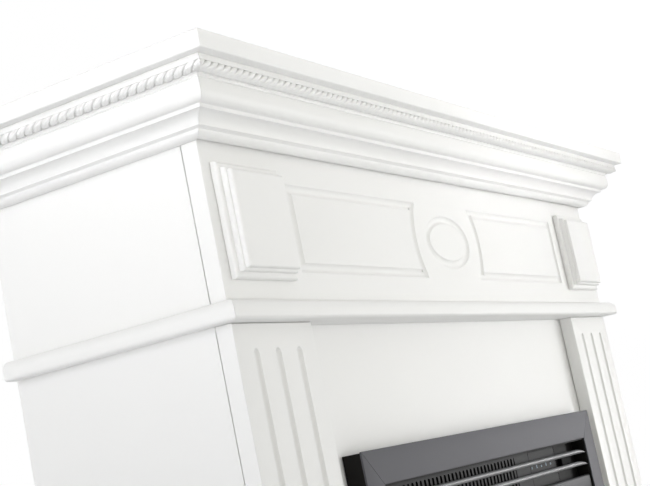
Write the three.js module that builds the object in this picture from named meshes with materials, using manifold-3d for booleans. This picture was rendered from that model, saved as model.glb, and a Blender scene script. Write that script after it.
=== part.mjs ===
// A painted wooden fireplace mantelpiece with an electric fire in its opening.
// Millimetres, +Z up, the front faces -Y, the origin is under the middle of the whole piece.
import * as THREE from 'three';
import { mergeVertices } from 'three/addons/utils/BufferGeometryUtils.js';
import Module from 'manifold-3d';

const wasm = await Module();
wasm.setup();

// Frame: as wide as its two pilasters, the fire between them and the panel that shows beside the fire
const fireWidth = 612;
const fireSideGap = 33;
const pilasterWidth = 131;
const frameWidth = fireWidth + 2 * (fireSideGap + pilasterWidth);
const frameDepth = 237;
const boardThickness = 16;
const jointGap = 0.3;
const seamGap = 1;

// Heights of the stages, from the floor up
const legHeight = 773;
const railHeight = 18;
const friezeHeight = 139;
const shelfThickness = 16;

// Shelf
const shelfOverhang = 60;
const shelfArris = 1.2;

// Cornice members, from the shelf down, and how far each one stands out of the frame
const bandHeight = 5.8;
const bandReach = 51;
const ropeSeatHeight = 8.5;
const ropeSeatDepth = 7;
const ovoloHeight = 18.9;
const ovoloReach = 39.3;
const ovoloLean = 0.7;
const ovoloRound = 7.9;
const ovoloUndercut = 6.8;
const filletHeight = 3.6;
const filletReach = 29.5;
const coveHeight = 10;
const coveReach = 17.5;
const creaseHeight = 1.6;
const footHeight = 5.6;
const footReach = 13;
const footRound = 7.4;
const frontFootGap = 2;
const sideFootGap = 0.6;
const footGapDepth = 12;

// Rope
const ropePitch = 9.5;
const ropeDiameter = 8.9;
const ropeGrooveDepth = 1.3;
const ropeFacets = 5;

// Frieze carving
const grooveWidth = 9;
const grooveDepth = 3;
const panelHeight = 83.5;
const panelToBlock = 20;
const panelEnd = 71;
const panelBow = 9;
const ovalWidth = 112;
const ovalHeight = 60;

// Corner blocks: three rounded steps up to a flat field
const blockWidth = 100;
const blockHeight = 102;
const blockInset = 13;
const outerRise = 6.6;
const outerRound = 2.6;
const outerTread = 5.6;
const middleRise = 5;
const middleRound = 1.8;
const middleTread = 2.5;
const innerRise = 4.4;
const innerRound = 2.1;
const innerTread = 2.1;
const blockSteps = [
  { rise: outerRise, round: outerRound, tread: outerTread },
  { rise: middleRise, round: middleRound, tread: middleTread },
  { rise: innerRise, round: innerRound, tread: innerTread },
];

// Rail
const railReach = 16;
const railTopRound = 9;
const railBottomRound = 3.5;

// Flutes of the pilasters
const fluteCount = 3;
const flutePitch = 35.3;
const fluteStop = 22;

// Plinths and skirting
const plinthHeight = 110;
const plinthReach = 8;
const plinthRound = 6;

// Surround panel and the shelf for the fire
const surroundLap = 60;
const openingClearance = 8;

// Electric fire
const fireHeight = 600;
const fireLift = 50;
const bezelBorder = 35;
const bezelThickness = 2;
const bezelProud = 5;
const caseInset = 1;
const sheet = 1.5;
const fireDepth = 175;
const louvreCount = 2;
const louvrePitch = 14.7;
const louvreDrop = 13.5;
const louvreChord = 10;
const louvreThickness = 5.6;
const louvreSetback = 0.5;
const outletHeight = 51;
const outletSetback = 18;
const plateThickness = 2;
const slotPitch = 9.4;
const slotWidth = 5;
const slotFootMargin = 6;
const slotTopMargin = 2.7;
const slotEnd = 42;
const controlPlateWidth = 84;
const blankPlateWidth = 65;
const switchWidth = 32;
const switchHeight = 12;
const switchDepth = 5;
const switchDrop = 14;
const switchOffset = 6;
const windowThickness = 4;
const windowSetback = 9;
const windowRailDrop = 43;
const windowRailHeight = 16;
const windowRailThickness = 5;
const windowRailRound = 2.5;
const windowRailSetback = 1;

// Steps of the curves
const arcSteps = 6;
const smallRoundSteps = 4;
const blockRoundSteps = 3;
const bowSteps = 8;
const ovalSteps = 36;
const louvreSides = 12;
const fluteSides = 16;

// How far a cutter runs past what it cuts
const cutOver = 1;

// Places that follow from the sizes
const halfWidth = frameWidth / 2;
const mitreReach = bandReach + railReach;
const shelfDepth = frameDepth + shelfOverhang;
const backY = shelfDepth / 2;
const faceY = backY - frameDepth;
const panelY = faceY + boardThickness;
const sideY = panelY + seamGap;
const upperMembers = bandHeight + ropeSeatHeight + ovoloHeight + filletHeight;
const corniceHeight = upperMembers + coveHeight + creaseHeight + footHeight;
const railTop = legHeight + railHeight;
const friezeTop = railTop + friezeHeight;
const shelfBottom = friezeTop + corniceHeight;
const shelfTop = shelfBottom + shelfThickness;
const friezeMiddle = railTop + friezeHeight / 2;
const mouldingSpan = frameWidth + 2 * mitreReach;

// Finishes
const white = new THREE.MeshStandardMaterial({ color: 0xefeeea, roughness: 0.42, metalness: 0 });
const black = new THREE.MeshStandardMaterial({ color: 0x1a1918, roughness: 0.5, metalness: 0.1 });
const darkPlate = new THREE.MeshStandardMaterial({ color: 0x37373a, roughness: 0.55, metalness: 0.2 });
const grey = new THREE.MeshStandardMaterial({ color: 0x7b7a7e, roughness: 0.4, metalness: 0.7 });
const silver = new THREE.MeshStandardMaterial({ color: 0xd4d4d4, roughness: 0.22, metalness: 1 });
const glass = new THREE.MeshStandardMaterial({ color: 0x101012, roughness: 0.06, metalness: 0 });

const mantelpiece = new THREE.Group();

// A named piece of the model
function place(name, geometry, finish) {
  const piece = new THREE.Mesh(geometry, finish.clone());
  piece.name = name;
  mantelpiece.add(piece);
}

// A geometry from a flat list of coordinates and a list of triangles
function indexed(points, faces) {
  const geometry = new THREE.BufferGeometry();
  geometry.setAttribute('position', new THREE.Float32BufferAttribute(points, 3));
  geometry.setIndex(faces);
  geometry.computeVertexNormals();
  return geometry;
}

// A closed geometry with its shared corners merged
function welded(geometry) {
  const bare = geometry.clone();
  bare.deleteAttribute('normal');
  bare.deleteAttribute('uv');
  return mergeVertices(bare, 1e-4);
}

// A solid for joining and cutting
function solidOf(geometry) {
  const closed = welded(geometry);
  const vertProperties = new Float32Array(closed.attributes.position.array);
  const triVerts = new Uint32Array(closed.index.array);
  return new wasm.Manifold(new wasm.Mesh({ numProp: 3, vertProperties, triVerts }));
}

// A geometry of a joined or cut solid
function geometryOf(solid) {
  const mesh = solid.getMesh();
  return indexed(Array.from(mesh.vertProperties), Array.from(mesh.triVerts));
}

// A block between two corners
function block(x, y, z) {
  const geometry = new THREE.BoxGeometry(x[1] - x[0], y[1] - y[0], z[1] - z[0]);
  return geometry.translate((x[0] + x[1]) / 2, (y[0] + y[1]) / 2, (z[0] + z[1]) / 2);
}

// Points of a quarter ellipse from one angle to another, in radians
function arc(centreX, centreY, radiusX, radiusY, from, to, steps = arcSteps) {
  const points = [];
  for (let i = 0; i <= steps; i += 1) {
    const angle = from + ((to - from) * i) / steps;
    points.push([centreX + radiusX * Math.cos(angle), centreY + radiusY * Math.sin(angle)]);
  }
  return points;
}

// A plan outline, x and y, raised between two heights
function raisedPlan(points, z) {
  const outline = new THREE.Shape(points.map(([x, y]) => new THREE.Vector2(x, y)));
  const geometry = new THREE.ExtrudeGeometry(outline, { depth: z[1] - z[0], bevelEnabled: false });
  return geometry.translate(0, 0, z[0]);
}

// A moulding of a profile, reach and height, that runs along X and faces -Y from the line y = 0
function straightMoulding(profile, length) {
  const outline = new THREE.Shape(profile.map(([reach, z]) => new THREE.Vector2(reach, z)));
  const geometry = new THREE.ExtrudeGeometry(outline, { depth: length, bevelEnabled: false });
  const turn = new THREE.Matrix4().makeBasis(
    new THREE.Vector3(0, -1, 0),
    new THREE.Vector3(0, 0, 1),
    new THREE.Vector3(-1, 0, 0),
  );
  return geometry.applyMatrix4(turn).translate(length / 2, 0, 0);
}

// The plan areas that the front and the two side runs of a moulding may fill, with a fine mitre gap
const runPlans = {
  front: [
    [-halfWidth + jointGap, faceY],
    [-halfWidth - mitreReach + jointGap, faceY - mitreReach],
    [halfWidth + mitreReach - jointGap, faceY - mitreReach],
    [halfWidth - jointGap, faceY],
  ],
  left: [
    [-halfWidth, faceY],
    [-halfWidth, backY],
    [-halfWidth - mitreReach, backY],
    [-halfWidth - mitreReach, faceY - mitreReach],
  ],
  right: [
    [halfWidth, faceY],
    [halfWidth + mitreReach, faceY - mitreReach],
    [halfWidth + mitreReach, backY],
    [halfWidth, backY],
  ],
};

// A straight moulding laid along one run of the frame and cut to its mitres
function fitToRun(run, moulding) {
  const laid = moulding.clone();
  if (run === 'front') {
    laid.translate(0, faceY, 0);
  } else {
    const side = run === 'left' ? -1 : 1;
    laid.rotateZ((side * Math.PI) / 2);
    laid.translate(side * halfWidth, 0, 0);
  }
  const area = raisedPlan(runPlans[run], [0, shelfTop]);
  return geometryOf(solidOf(laid).intersect(solidOf(area)));
}

// The cornice outline, from the shelf down, with the rope's seat and the shadow gap behind its foot
function corniceProfile(footGap) {
  const bandBottom = shelfBottom - bandHeight;
  const seatBottom = bandBottom - ropeSeatHeight;
  const ovoloBottom = seatBottom - ovoloHeight;
  const filletBottom = ovoloBottom - filletHeight;
  const coveBottom = filletBottom - coveHeight;
  const footTop = coveBottom - creaseHeight;
  const ovoloRun = ovoloReach - ovoloUndercut;
  return [
    [jointGap, shelfBottom - jointGap],
    [bandReach, shelfBottom - jointGap],
    [bandReach, bandBottom],
    [bandReach - ropeSeatDepth, bandBottom],
    [bandReach - ropeSeatDepth, seatBottom],
    [ovoloReach - ovoloLean, seatBottom],
    ...arc(ovoloRun, ovoloBottom + ovoloRound, ovoloUndercut, ovoloRound, 0, -Math.PI / 2),
    [filletReach, ovoloBottom],
    [filletReach, filletBottom],
    ...arc(filletReach, coveBottom, filletReach - coveReach, coveHeight, Math.PI / 2, Math.PI).slice(1),
    ...arc(footReach - footRound, footTop, footRound, footHeight, 0, -Math.PI / 2),
    [footGap, friezeTop],
    [footGap, friezeTop + footGapDepth],
    [jointGap, friezeTop + footGapDepth],
  ];
}

// The rail outline with its rounded nose
function railProfile() {
  const lowest = legHeight;
  return [
    [jointGap, lowest],
    ...arc(railReach - railBottomRound, lowest + railBottomRound, railBottomRound, railBottomRound,
      -Math.PI / 2, 0, smallRoundSteps),
    ...arc(railReach - railTopRound, railTop - railTopRound, railTopRound, railTopRound, 0, Math.PI / 2),
    [jointGap, railTop],
  ];
}

// The rope: a ridge and a groove for each strand, wound so that the strands lean to the right
function straightRope(length) {
  const radius = ropeDiameter / 2;
  const centreReach = bandReach - radius - jointGap;
  const centreHeight = shelfBottom - bandHeight - ropeSeatHeight / 2;
  const flatReach = bandReach - ropeSeatDepth + jointGap;
  const flatDepth = centreReach - flatReach;
  const wrap = Math.PI - Math.acos(flatDepth / radius);
  const stations = 4 * Math.ceil(length / ropePitch / 2) + 1;
  const ring = ropeFacets + 1;
  const points = [];
  for (let i = 0; i < stations; i += 1) {
    const along = ((i - (stations - 1) / 2) * ropePitch) / 2;
    const reachOut = i % 2 === 0 ? radius : radius - ropeGrooveDepth;
    for (let j = 0; j < ring; j += 1) {
      const angle = wrap * ((2 * j) / ropeFacets - 1);
      const atBack = j === 0 || j === ring - 1;
      const reach = atBack ? flatReach : centreReach + reachOut * Math.cos(angle);
      const up = (atBack ? radius - ropeGrooveDepth : reachOut) * Math.sin(angle);
      points.push(along + (ropePitch * angle) / Math.PI, -reach, centreHeight + up);
    }
  }
  const faces = [];
  for (let i = 0; i < stations - 1; i += 1) {
    for (let j = 0; j < ring; j += 1) {
      const a = i * ring + j;
      const b = i * ring + ((j + 1) % ring);
      faces.push(a, a + ring, b, b, a + ring, b + ring);
    }
  }
  const last = (stations - 1) * ring;
  for (let j = 1; j < ring - 1; j += 1) {
    faces.push(0, j, j + 1);
    faces.push(last, last + j + 1, last + j);
  }
  return indexed(points, faces);
}

// The cutter of a routed groove along a closed path, x and z, on the front face
function closedGroove(path) {
  const count = path.length;
  const section = grooveSection();
  const ring = section.length;
  const points = [];
  for (let i = 0; i < count; i += 1) {
    const before = path[(i + count - 1) % count];
    const here = path[i];
    const after = path[(i + 1) % count];
    const inDirection = new THREE.Vector2(here[0] - before[0], here[1] - before[1]).normalize();
    const outDirection = new THREE.Vector2(after[0] - here[0], after[1] - here[1]).normalize();
    const middle = inDirection.clone().add(outDirection).normalize();
    const stretch = 1 / middle.dot(outDirection);
    const across = new THREE.Vector2(-middle.y, middle.x).multiplyScalar(stretch);
    for (const [offset, depth] of section) {
      points.push(here[0] + across.x * offset, faceY + depth, here[1] + across.y * offset);
    }
  }
  const faces = [];
  for (let i = 0; i < count; i += 1) {
    for (let j = 0; j < ring; j += 1) {
      const a = i * ring + j;
      const b = i * ring + ((j + 1) % ring);
      const c = ((i + 1) % count) * ring + j;
      const d = ((i + 1) % count) * ring + ((j + 1) % ring);
      faces.push(a, c, b, b, c, d);
    }
  }
  return solidOf(indexed(points, faces));
}

// Radius of the round bottomed cutter, and how far its centre stands in front of the face
const cutterRadius = (grooveWidth * grooveWidth) / (8 * grooveDepth) + grooveDepth / 2;
const cutterLift = cutterRadius - grooveDepth;

// Section of the groove: offset across the path, depth into the face
function grooveSection() {
  const half = Math.asin(grooveWidth / 2 / cutterRadius);
  const round = arc(0, -cutterLift, cutterRadius, cutterRadius, Math.PI / 2 - half, Math.PI / 2 + half);
  return [[grooveWidth / 2, -grooveDepth], ...round, [-grooveWidth / 2, -grooveDepth]];
}

// The path of a routed panel, its inner end bowed towards the panel; side is -1 or 1
function panelPath(side) {
  const inset = grooveWidth / 2;
  const outer = halfWidth - blockInset - blockWidth - panelToBlock - inset;
  const top = friezeMiddle + panelHeight / 2 - inset;
  const bottom = friezeMiddle - panelHeight / 2 + inset;
  const rise = (top - bottom) / 2;
  const bowRadius = (rise * rise + panelBow * panelBow) / (2 * panelBow);
  const half = Math.asin(rise / bowRadius);
  const end = panelEnd + inset;
  const bowCentre = end + panelBow - bowRadius;
  const bow = arc(bowCentre, friezeMiddle, bowRadius, bowRadius, -half, half, bowSteps);
  const path = [...bow, [outer, top], [outer, bottom]];
  return side > 0 ? path : path.map(([x, z]) => [-x, z]).reverse();
}

// The path of the routed oval
function ovalPath() {
  const radiusX = (ovalWidth - grooveWidth) / 2;
  const radiusZ = (ovalHeight - grooveWidth) / 2;
  return arc(0, friezeMiddle, radiusX, radiusZ, 0, 2 * Math.PI, ovalSteps).slice(0, ovalSteps);
}

// The frieze board with its routed lines
function friezeBoard() {
  const top = shelfBottom - jointGap;
  let board = solidOf(block([-halfWidth, halfWidth], [faceY, panelY], [legHeight, top]));
  for (const side of [-1, 1]) {
    board = board.subtract(closedGroove(panelPath(side)));
  }
  return geometryOf(board.subtract(closedGroove(ovalPath())));
}

// The stepped edge of a corner block: inset from its outline, height over the frieze
function blockEdge() {
  const points = [[0, jointGap]];
  let inset = 0;
  let height = 0;
  for (const step of blockSteps) {
    height += step.rise;
    points.push(...arc(inset + step.round, height - step.round, step.round, step.round,
      Math.PI, Math.PI / 2, blockRoundSteps));
    inset += step.tread;
    points.push([inset, height]);
  }
  return points;
}

// A corner block, built up ring by ring from its edge outline
function cornerBlock(side) {
  const centreX = side * (halfWidth - blockInset - blockWidth / 2);
  const edge = blockEdge();
  const points = [];
  for (const [inset, height] of edge) {
    const x = blockWidth / 2 - inset;
    const z = blockHeight / 2 - inset;
    for (const [signX, signZ] of [[-1, -1], [1, -1], [1, 1], [-1, 1]]) {
      points.push(centreX + signX * x, faceY - height, friezeMiddle + signZ * z);
    }
  }
  const faces = [0, 2, 1, 0, 3, 2];
  for (let i = 0; i < edge.length - 1; i += 1) {
    for (let j = 0; j < 4; j += 1) {
      const a = i * 4 + j;
      const b = i * 4 + ((j + 1) % 4);
      faces.push(a, b, a + 4, b, b + 4, a + 4);
    }
  }
  const last = (edge.length - 1) * 4;
  faces.push(last, last + 1, last + 2, last, last + 2, last + 3);
  return indexed(points, faces);
}

// The cutter of one stopped flute
function fluteCutter(x, bottom, top) {
  const radius = cutterRadius;
  const outline = [
    ...arc(0, bottom + radius, radius, radius, -Math.PI / 2, 0, smallRoundSteps),
    ...arc(0, top - radius, radius, radius, 0, Math.PI / 2, smallRoundSteps),
  ];
  outline[0][0] = 0;
  outline[outline.length - 1][0] = 0;
  const lathe = new THREE.LatheGeometry(outline.map(([r, y]) => new THREE.Vector2(r, y)), fluteSides);
  return solidOf(lathe.rotateX(Math.PI / 2).translate(x, faceY - cutterLift, 0));
}

// A pilaster board with its flutes
function pilaster(side) {
  const centre = side * (halfWidth - pilasterWidth / 2);
  const x = [centre - pilasterWidth / 2, centre + pilasterWidth / 2];
  const top = legHeight - jointGap;
  let board = solidOf(block(x, [faceY, panelY], [plinthHeight, top]));
  const endSlack = cutterRadius - grooveWidth / 2;
  for (let i = 0; i < fluteCount; i += 1) {
    const fluteX = centre + (i - (fluteCount - 1) / 2) * flutePitch;
    const lowest = plinthHeight + fluteStop - endSlack;
    board = board.subtract(fluteCutter(fluteX, lowest, legHeight - fluteStop + endSlack));
  }
  return geometryOf(board);
}

// A plinth's or skirting's upright outline, reach and height, with a rounded top edge
function plinthProfile(back) {
  const top = plinthHeight - jointGap;
  return [
    [back, 0],
    [plinthReach, 0],
    ...arc(plinthReach - plinthRound, top - plinthRound, plinthRound, plinthRound, 0, Math.PI / 2),
    [back, top],
  ];
}

// A plinth block under a pilaster
function plinth(side) {
  const width = pilasterWidth + 2 * plinthReach;
  const centre = side * (halfWidth - pilasterWidth / 2);
  return straightMoulding(plinthProfile(-boardThickness), width).translate(centre, faceY, 0);
}

// The skirting along one side, behind the plinth block
function skirting(side) {
  const length = backY - panelY - jointGap;
  const strip = straightMoulding(plinthProfile(jointGap), length);
  return strip.rotateZ((side * Math.PI) / 2).translate(side * halfWidth, backY - length / 2, 0);
}

// A side board
function sidePanel(side) {
  const x = [halfWidth - boardThickness, halfWidth].map((value) => side * value).sort((a, b) => a - b);
  return block(x, [sideY, backY], [0, shelfBottom - jointGap]);
}

// Where the fire's case passes through the surround panel
const caseHalf = fireWidth / 2 - bezelBorder;
const caseBottom = fireLift + bezelBorder;
const caseTop = fireLift + fireHeight - bezelBorder;
const fireFaceY = faceY - bezelProud;
const caseFaceY = fireFaceY + bezelThickness + jointGap;
const caseFloor = caseBottom - sheet;
const controlPlateEnd = caseHalf - blankPlateWidth;
const ventPlateEnd = controlPlateEnd - controlPlateWidth;

// The set back panel with its opening
function surroundPanel() {
  const half = halfWidth - boardThickness - jointGap;
  const y = [panelY + jointGap, panelY + boardThickness];
  const panel = solidOf(block([-half, half], y, [0, railTop + surroundLap]));
  const openHalf = caseHalf + sheet + openingClearance;
  const openZ = [caseFloor - jointGap, caseTop + sheet + openingClearance];
  return geometryOf(panel.subtract(solidOf(block([-openHalf, openHalf], [faceY, backY], openZ))));
}

// The board inside that ties the sides and carries the fire
function fireShelf() {
  const half = halfWidth - boardThickness - jointGap;
  const top = caseFloor - jointGap;
  return block([-half, half], [panelY + boardThickness + jointGap, backY], [top - boardThickness, top]);
}

// The fire's sheet metal case: a shallow front tray with a deep box behind it, open to the front
function fireCasing() {
  const outerHalf = fireWidth / 2 - caseInset;
  const outerZ = [fireLift + caseInset, fireLift + fireHeight - caseInset];
  const innerZ = outerZ.map((z, i) => z + (i === 0 ? sheet : -sheet));
  const trayBack = panelY;
  const tray = solidOf(block([-outerHalf, outerHalf], [caseFaceY, trayBack], outerZ));
  const trayHollow = solidOf(
    block([sheet - outerHalf, outerHalf - sheet], [caseFaceY + sheet, trayBack + cutOver], innerZ));
  const boxHalf = caseHalf + sheet;
  const boxZ = [caseFloor, caseTop + sheet];
  const boxBack = caseFaceY + fireDepth;
  const box = solidOf(block([-boxHalf, boxHalf], [caseFaceY, boxBack], boxZ));
  const mouth = [caseFaceY - cutOver, boxBack - sheet];
  const boxHollow = solidOf(block([-caseHalf, caseHalf], mouth, [caseBottom, caseTop]));
  return geometryOf(tray.subtract(trayHollow).add(box).subtract(boxHollow));
}

// One mitred strip of the bezel
function bezelStrip(edge) {
  const halfX = fireWidth / 2;
  const halfZ = fireHeight / 2;
  const corners = {
    top: [[-halfX, halfZ], [halfX, halfZ]],
    right: [[halfX, halfZ], [halfX, -halfZ]],
    bottom: [[halfX, -halfZ], [-halfX, -halfZ]],
    left: [[-halfX, -halfZ], [-halfX, halfZ]],
  };
  const [start, end] = corners[edge];
  const inward = ([x, z]) => [x - Math.sign(x) * bezelBorder, z - Math.sign(z) * bezelBorder];
  const along = [Math.sign(end[0] - start[0]), Math.sign(end[1] - start[1])];
  const nudge = ([x, z], way) => [x + way * along[0] * jointGap, z + way * along[1] * jointGap];
  const outline = [nudge(start, 1), nudge(end, -1), nudge(inward(end), -1), nudge(inward(start), 1)];
  const shape = new THREE.Shape(outline.map(([x, z]) => new THREE.Vector2(x, z)));
  const strip = new THREE.ExtrudeGeometry(shape, { depth: bezelThickness, bevelEnabled: false });
  return strip.rotateX(Math.PI / 2).translate(0, fireFaceY + bezelThickness, fireLift + halfZ);
}

// A lens shaped louvre blade
function louvre(index) {
  const centreY = fireFaceY + bezelThickness + louvreSetback + louvreChord / 2;
  const centreZ = caseTop - louvreDrop - index * louvrePitch;
  const round = arc(0, 0, louvreChord / 2, louvreThickness / 2, 0, 2 * Math.PI, louvreSides);
  const lens = round.slice(0, louvreSides);
  const length = 2 * (caseHalf - jointGap);
  const blade = straightMoulding(lens, length);
  return blade.translate(0, centreY, centreZ);
}

// The rounded rail over the window
function windowRail() {
  const front = windowRailThickness / 2;
  const top = caseTop - windowRailDrop;
  const outline = [
    [-front, top - windowRailHeight],
    [front, top - windowRailHeight],
    ...arc(front - windowRailRound, top - windowRailRound, windowRailRound, windowRailRound, 0, Math.PI / 2),
    [-front, top],
  ];
  const centreY = fireFaceY + bezelThickness + windowRailSetback + front;
  return straightMoulding(outline, 2 * (caseHalf - jointGap)).translate(0, centreY, 0);
}

const outletY = [fireFaceY + outletSetback, fireFaceY + outletSetback + plateThickness];
const outletZ = [caseTop - outletHeight, caseTop - jointGap];

// The outlet plate with its row of slots
function ventPlate() {
  const outer = [jointGap - caseHalf, ventPlateEnd];
  const outline = new THREE.Shape([
    new THREE.Vector2(outer[0], outletZ[0]),
    new THREE.Vector2(outer[1], outletZ[0]),
    new THREE.Vector2(outer[1], outletZ[1]),
    new THREE.Vector2(outer[0], outletZ[1]),
  ]);
  const radius = slotWidth / 2;
  const low = outletZ[0] + slotFootMargin + radius;
  const high = outletZ[1] - slotTopMargin - radius;
  const count = Math.floor((outer[1] - slotEnd - outer[0]) / slotPitch);
  for (let i = 0; i < count; i += 1) {
    const x = outer[1] - slotEnd - (i + 0.5) * slotPitch;
    const rim = [
      ...arc(x, low, radius, radius, -Math.PI, 0, smallRoundSteps),
      ...arc(x, high, radius, radius, 0, Math.PI, smallRoundSteps),
    ];
    outline.holes.push(new THREE.Path(rim.map(([px, pz]) => new THREE.Vector2(px, pz))));
  }
  const plate = new THREE.ExtrudeGeometry(outline, { depth: plateThickness, bevelEnabled: false });
  return plate.rotateX(Math.PI / 2).translate(0, outletY[1], 0);
}

// The switch at the right of the outlet
function fireSwitch() {
  const left = controlPlateEnd + switchOffset;
  const top = caseTop - switchDrop;
  const y = [outletY[0] - switchDepth - jointGap, outletY[0] - jointGap];
  return block([left, left + switchWidth], y, [top - switchHeight, top]);
}

// The shelf board with a fine arris on its edges
function shelfBoard() {
  const x = halfWidth + shelfOverhang - shelfArris;
  const y = shelfDepth / 2 - shelfArris;
  const plan = new THREE.Shape([
    new THREE.Vector2(-x, -y),
    new THREE.Vector2(x, -y),
    new THREE.Vector2(x, y),
    new THREE.Vector2(-x, y),
  ]);
  const board = new THREE.ExtrudeGeometry(plan, {
    depth: shelfThickness - 2 * shelfArris,
    bevelThickness: shelfArris,
    bevelSize: shelfArris,
    bevelSegments: 2,
  });
  return board.translate(0, 0, shelfBottom + shelfArris);
}

place('mantel_shelf', shelfBoard(), white);

const cornices = {
  front: straightMoulding(corniceProfile(frontFootGap), mouldingSpan),
  left: straightMoulding(corniceProfile(sideFootGap), mouldingSpan),
  right: straightMoulding(corniceProfile(sideFootGap), mouldingSpan),
};
const rope = straightRope(mouldingSpan);
const rail = straightMoulding(railProfile(), mouldingSpan);
for (const run of ['front', 'left', 'right']) {
  place(`cornice_${run}`, fitToRun(run, cornices[run]), white);
  place(`rope_${run}`, fitToRun(run, rope), white);
  place(`rail_${run}`, fitToRun(run, rail), white);
}

place('frieze_board', friezeBoard(), white);
for (const [hand, side] of [['left', -1], ['right', 1]]) {
  place(`corner_block_${hand}`, cornerBlock(side), white);
  place(`pilaster_${hand}`, pilaster(side), white);
  place(`plinth_${hand}`, plinth(side), white);
  place(`skirting_${hand}`, skirting(side), white);
  place(`side_panel_${hand}`, sidePanel(side), white);
}
place('surround_panel', surroundPanel(), white);
place('fire_shelf', fireShelf(), white);

place('fire_casing', fireCasing(), black);
for (const edge of ['top', 'bottom', 'left', 'right']) {
  place(`fire_bezel_${edge}`, bezelStrip(edge), grey);
}
for (let i = 0; i < louvreCount; i += 1) {
  place(`fire_louvre_${i + 1}`, louvre(i), silver);
}
place('fire_vent_plate', ventPlate(), darkPlate);
const controlX = [ventPlateEnd + jointGap, controlPlateEnd];
place('fire_control_plate', block(controlX, outletY, outletZ), darkPlate);
const blankX = [controlPlateEnd + jointGap, caseHalf - jointGap];
place('fire_blank_plate', block(blankX, outletY, outletZ), black);
place('fire_switch', fireSwitch(), black);

const windowHalf = caseHalf - jointGap;
const windowY = [fireFaceY + windowSetback, fireFaceY + windowSetback + windowThickness];
const windowZ = [caseBottom + jointGap, outletZ[0] - jointGap];
place('fire_window', block([-windowHalf, windowHalf], windowY, windowZ), glass);
place('fire_window_rail', windowRail(), silver);

export default mantelpiece;
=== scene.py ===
"""The looks of a white painted wooden fireplace mantelpiece with an electric fire in its opening.

Metres, +Z up, the front faces -Y, the origin is on the floor under the middle of the piece.
Each sub-assembly is a class that builds its meshes in the places of the fixed frame and dresses them.
"""
import logging
import math
from dataclasses import dataclass, field
from enum import Enum
from typing import Callable, Iterable, Sequence

import bmesh
import bpy
from mathutils import Matrix, Vector
from mathutils.geometry import tessellate_polygon


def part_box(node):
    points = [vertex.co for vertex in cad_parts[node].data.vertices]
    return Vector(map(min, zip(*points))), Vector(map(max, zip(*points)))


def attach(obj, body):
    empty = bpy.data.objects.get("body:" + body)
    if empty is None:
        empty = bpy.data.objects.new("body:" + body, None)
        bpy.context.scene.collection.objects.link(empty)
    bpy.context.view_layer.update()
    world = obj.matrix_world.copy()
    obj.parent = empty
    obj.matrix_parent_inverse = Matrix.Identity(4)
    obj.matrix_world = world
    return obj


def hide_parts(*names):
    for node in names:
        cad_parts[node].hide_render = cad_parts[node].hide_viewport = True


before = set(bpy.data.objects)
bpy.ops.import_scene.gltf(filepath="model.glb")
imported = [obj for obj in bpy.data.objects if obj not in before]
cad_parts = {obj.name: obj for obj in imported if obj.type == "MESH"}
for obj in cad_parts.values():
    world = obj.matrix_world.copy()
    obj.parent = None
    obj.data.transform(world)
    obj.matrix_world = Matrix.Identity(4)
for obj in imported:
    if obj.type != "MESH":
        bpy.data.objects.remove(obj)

LOG = logging.getLogger("mantelpiece")
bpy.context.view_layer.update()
MM = 0.001
QUARTER = math.pi / 2
FULL_TURN = 2 * math.pi
# The gap that the CAD keeps between touching pieces
JOINT_GAP = 0.3 * MM
# Edges that turn by more than these are shaded sharp, on any piece and on the rope's strands
SHARP_ANGLE = math.radians(38)
STRAND_SHARP_ANGLE = math.radians(75)
# A corner of an outline that turns by less than this isn't eased
SLIGHT_TURN = math.radians(20)
# The most of a flat stretch that the easing of one corner may take
MOST_CUT_SHARE = 0.45
# The steps of an eased edge, and the angles of those round a carved board's face
EASE_STEPS = 3
EASE_ANGLES = (0.0, 0.52, 1.05, QUARTER)
# The faces round a rope strip have at most this many corners, and its cut ends have more
QUAD_CORNERS = 4
Point2 = tuple[float, float]
Place = Callable[[Point2], Sequence[float]]


class Slot(Enum):
    """The record's material slots for the new pieces; this script doesn't give any piece one of them."""

    BOARD = "painted_board"
    BEZEL = "fire_bezel"
    LOUVRE = "fire_louvre"
    PLATE = "fire_plate"
    SWITCH = "fire_switch"


class Run(Enum):
    """The three straight runs of a moulding round the frame."""

    FRONT = "front"
    LEFT = "left"
    RIGHT = "right"

    @property
    def side(self) -> int:
        """The sign of X on the run's side."""
        return -1 if self is Run.LEFT else 1


class Grain(Enum):
    """The way that the fine marks of a finish run over a piece."""

    NONE = (1.0, 1.0, 1.0)
    ALONG_X = (0.02, 1.0, 1.0)
    ALONG_Y = (1.0, 0.02, 1.0)


# Node trees


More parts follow.
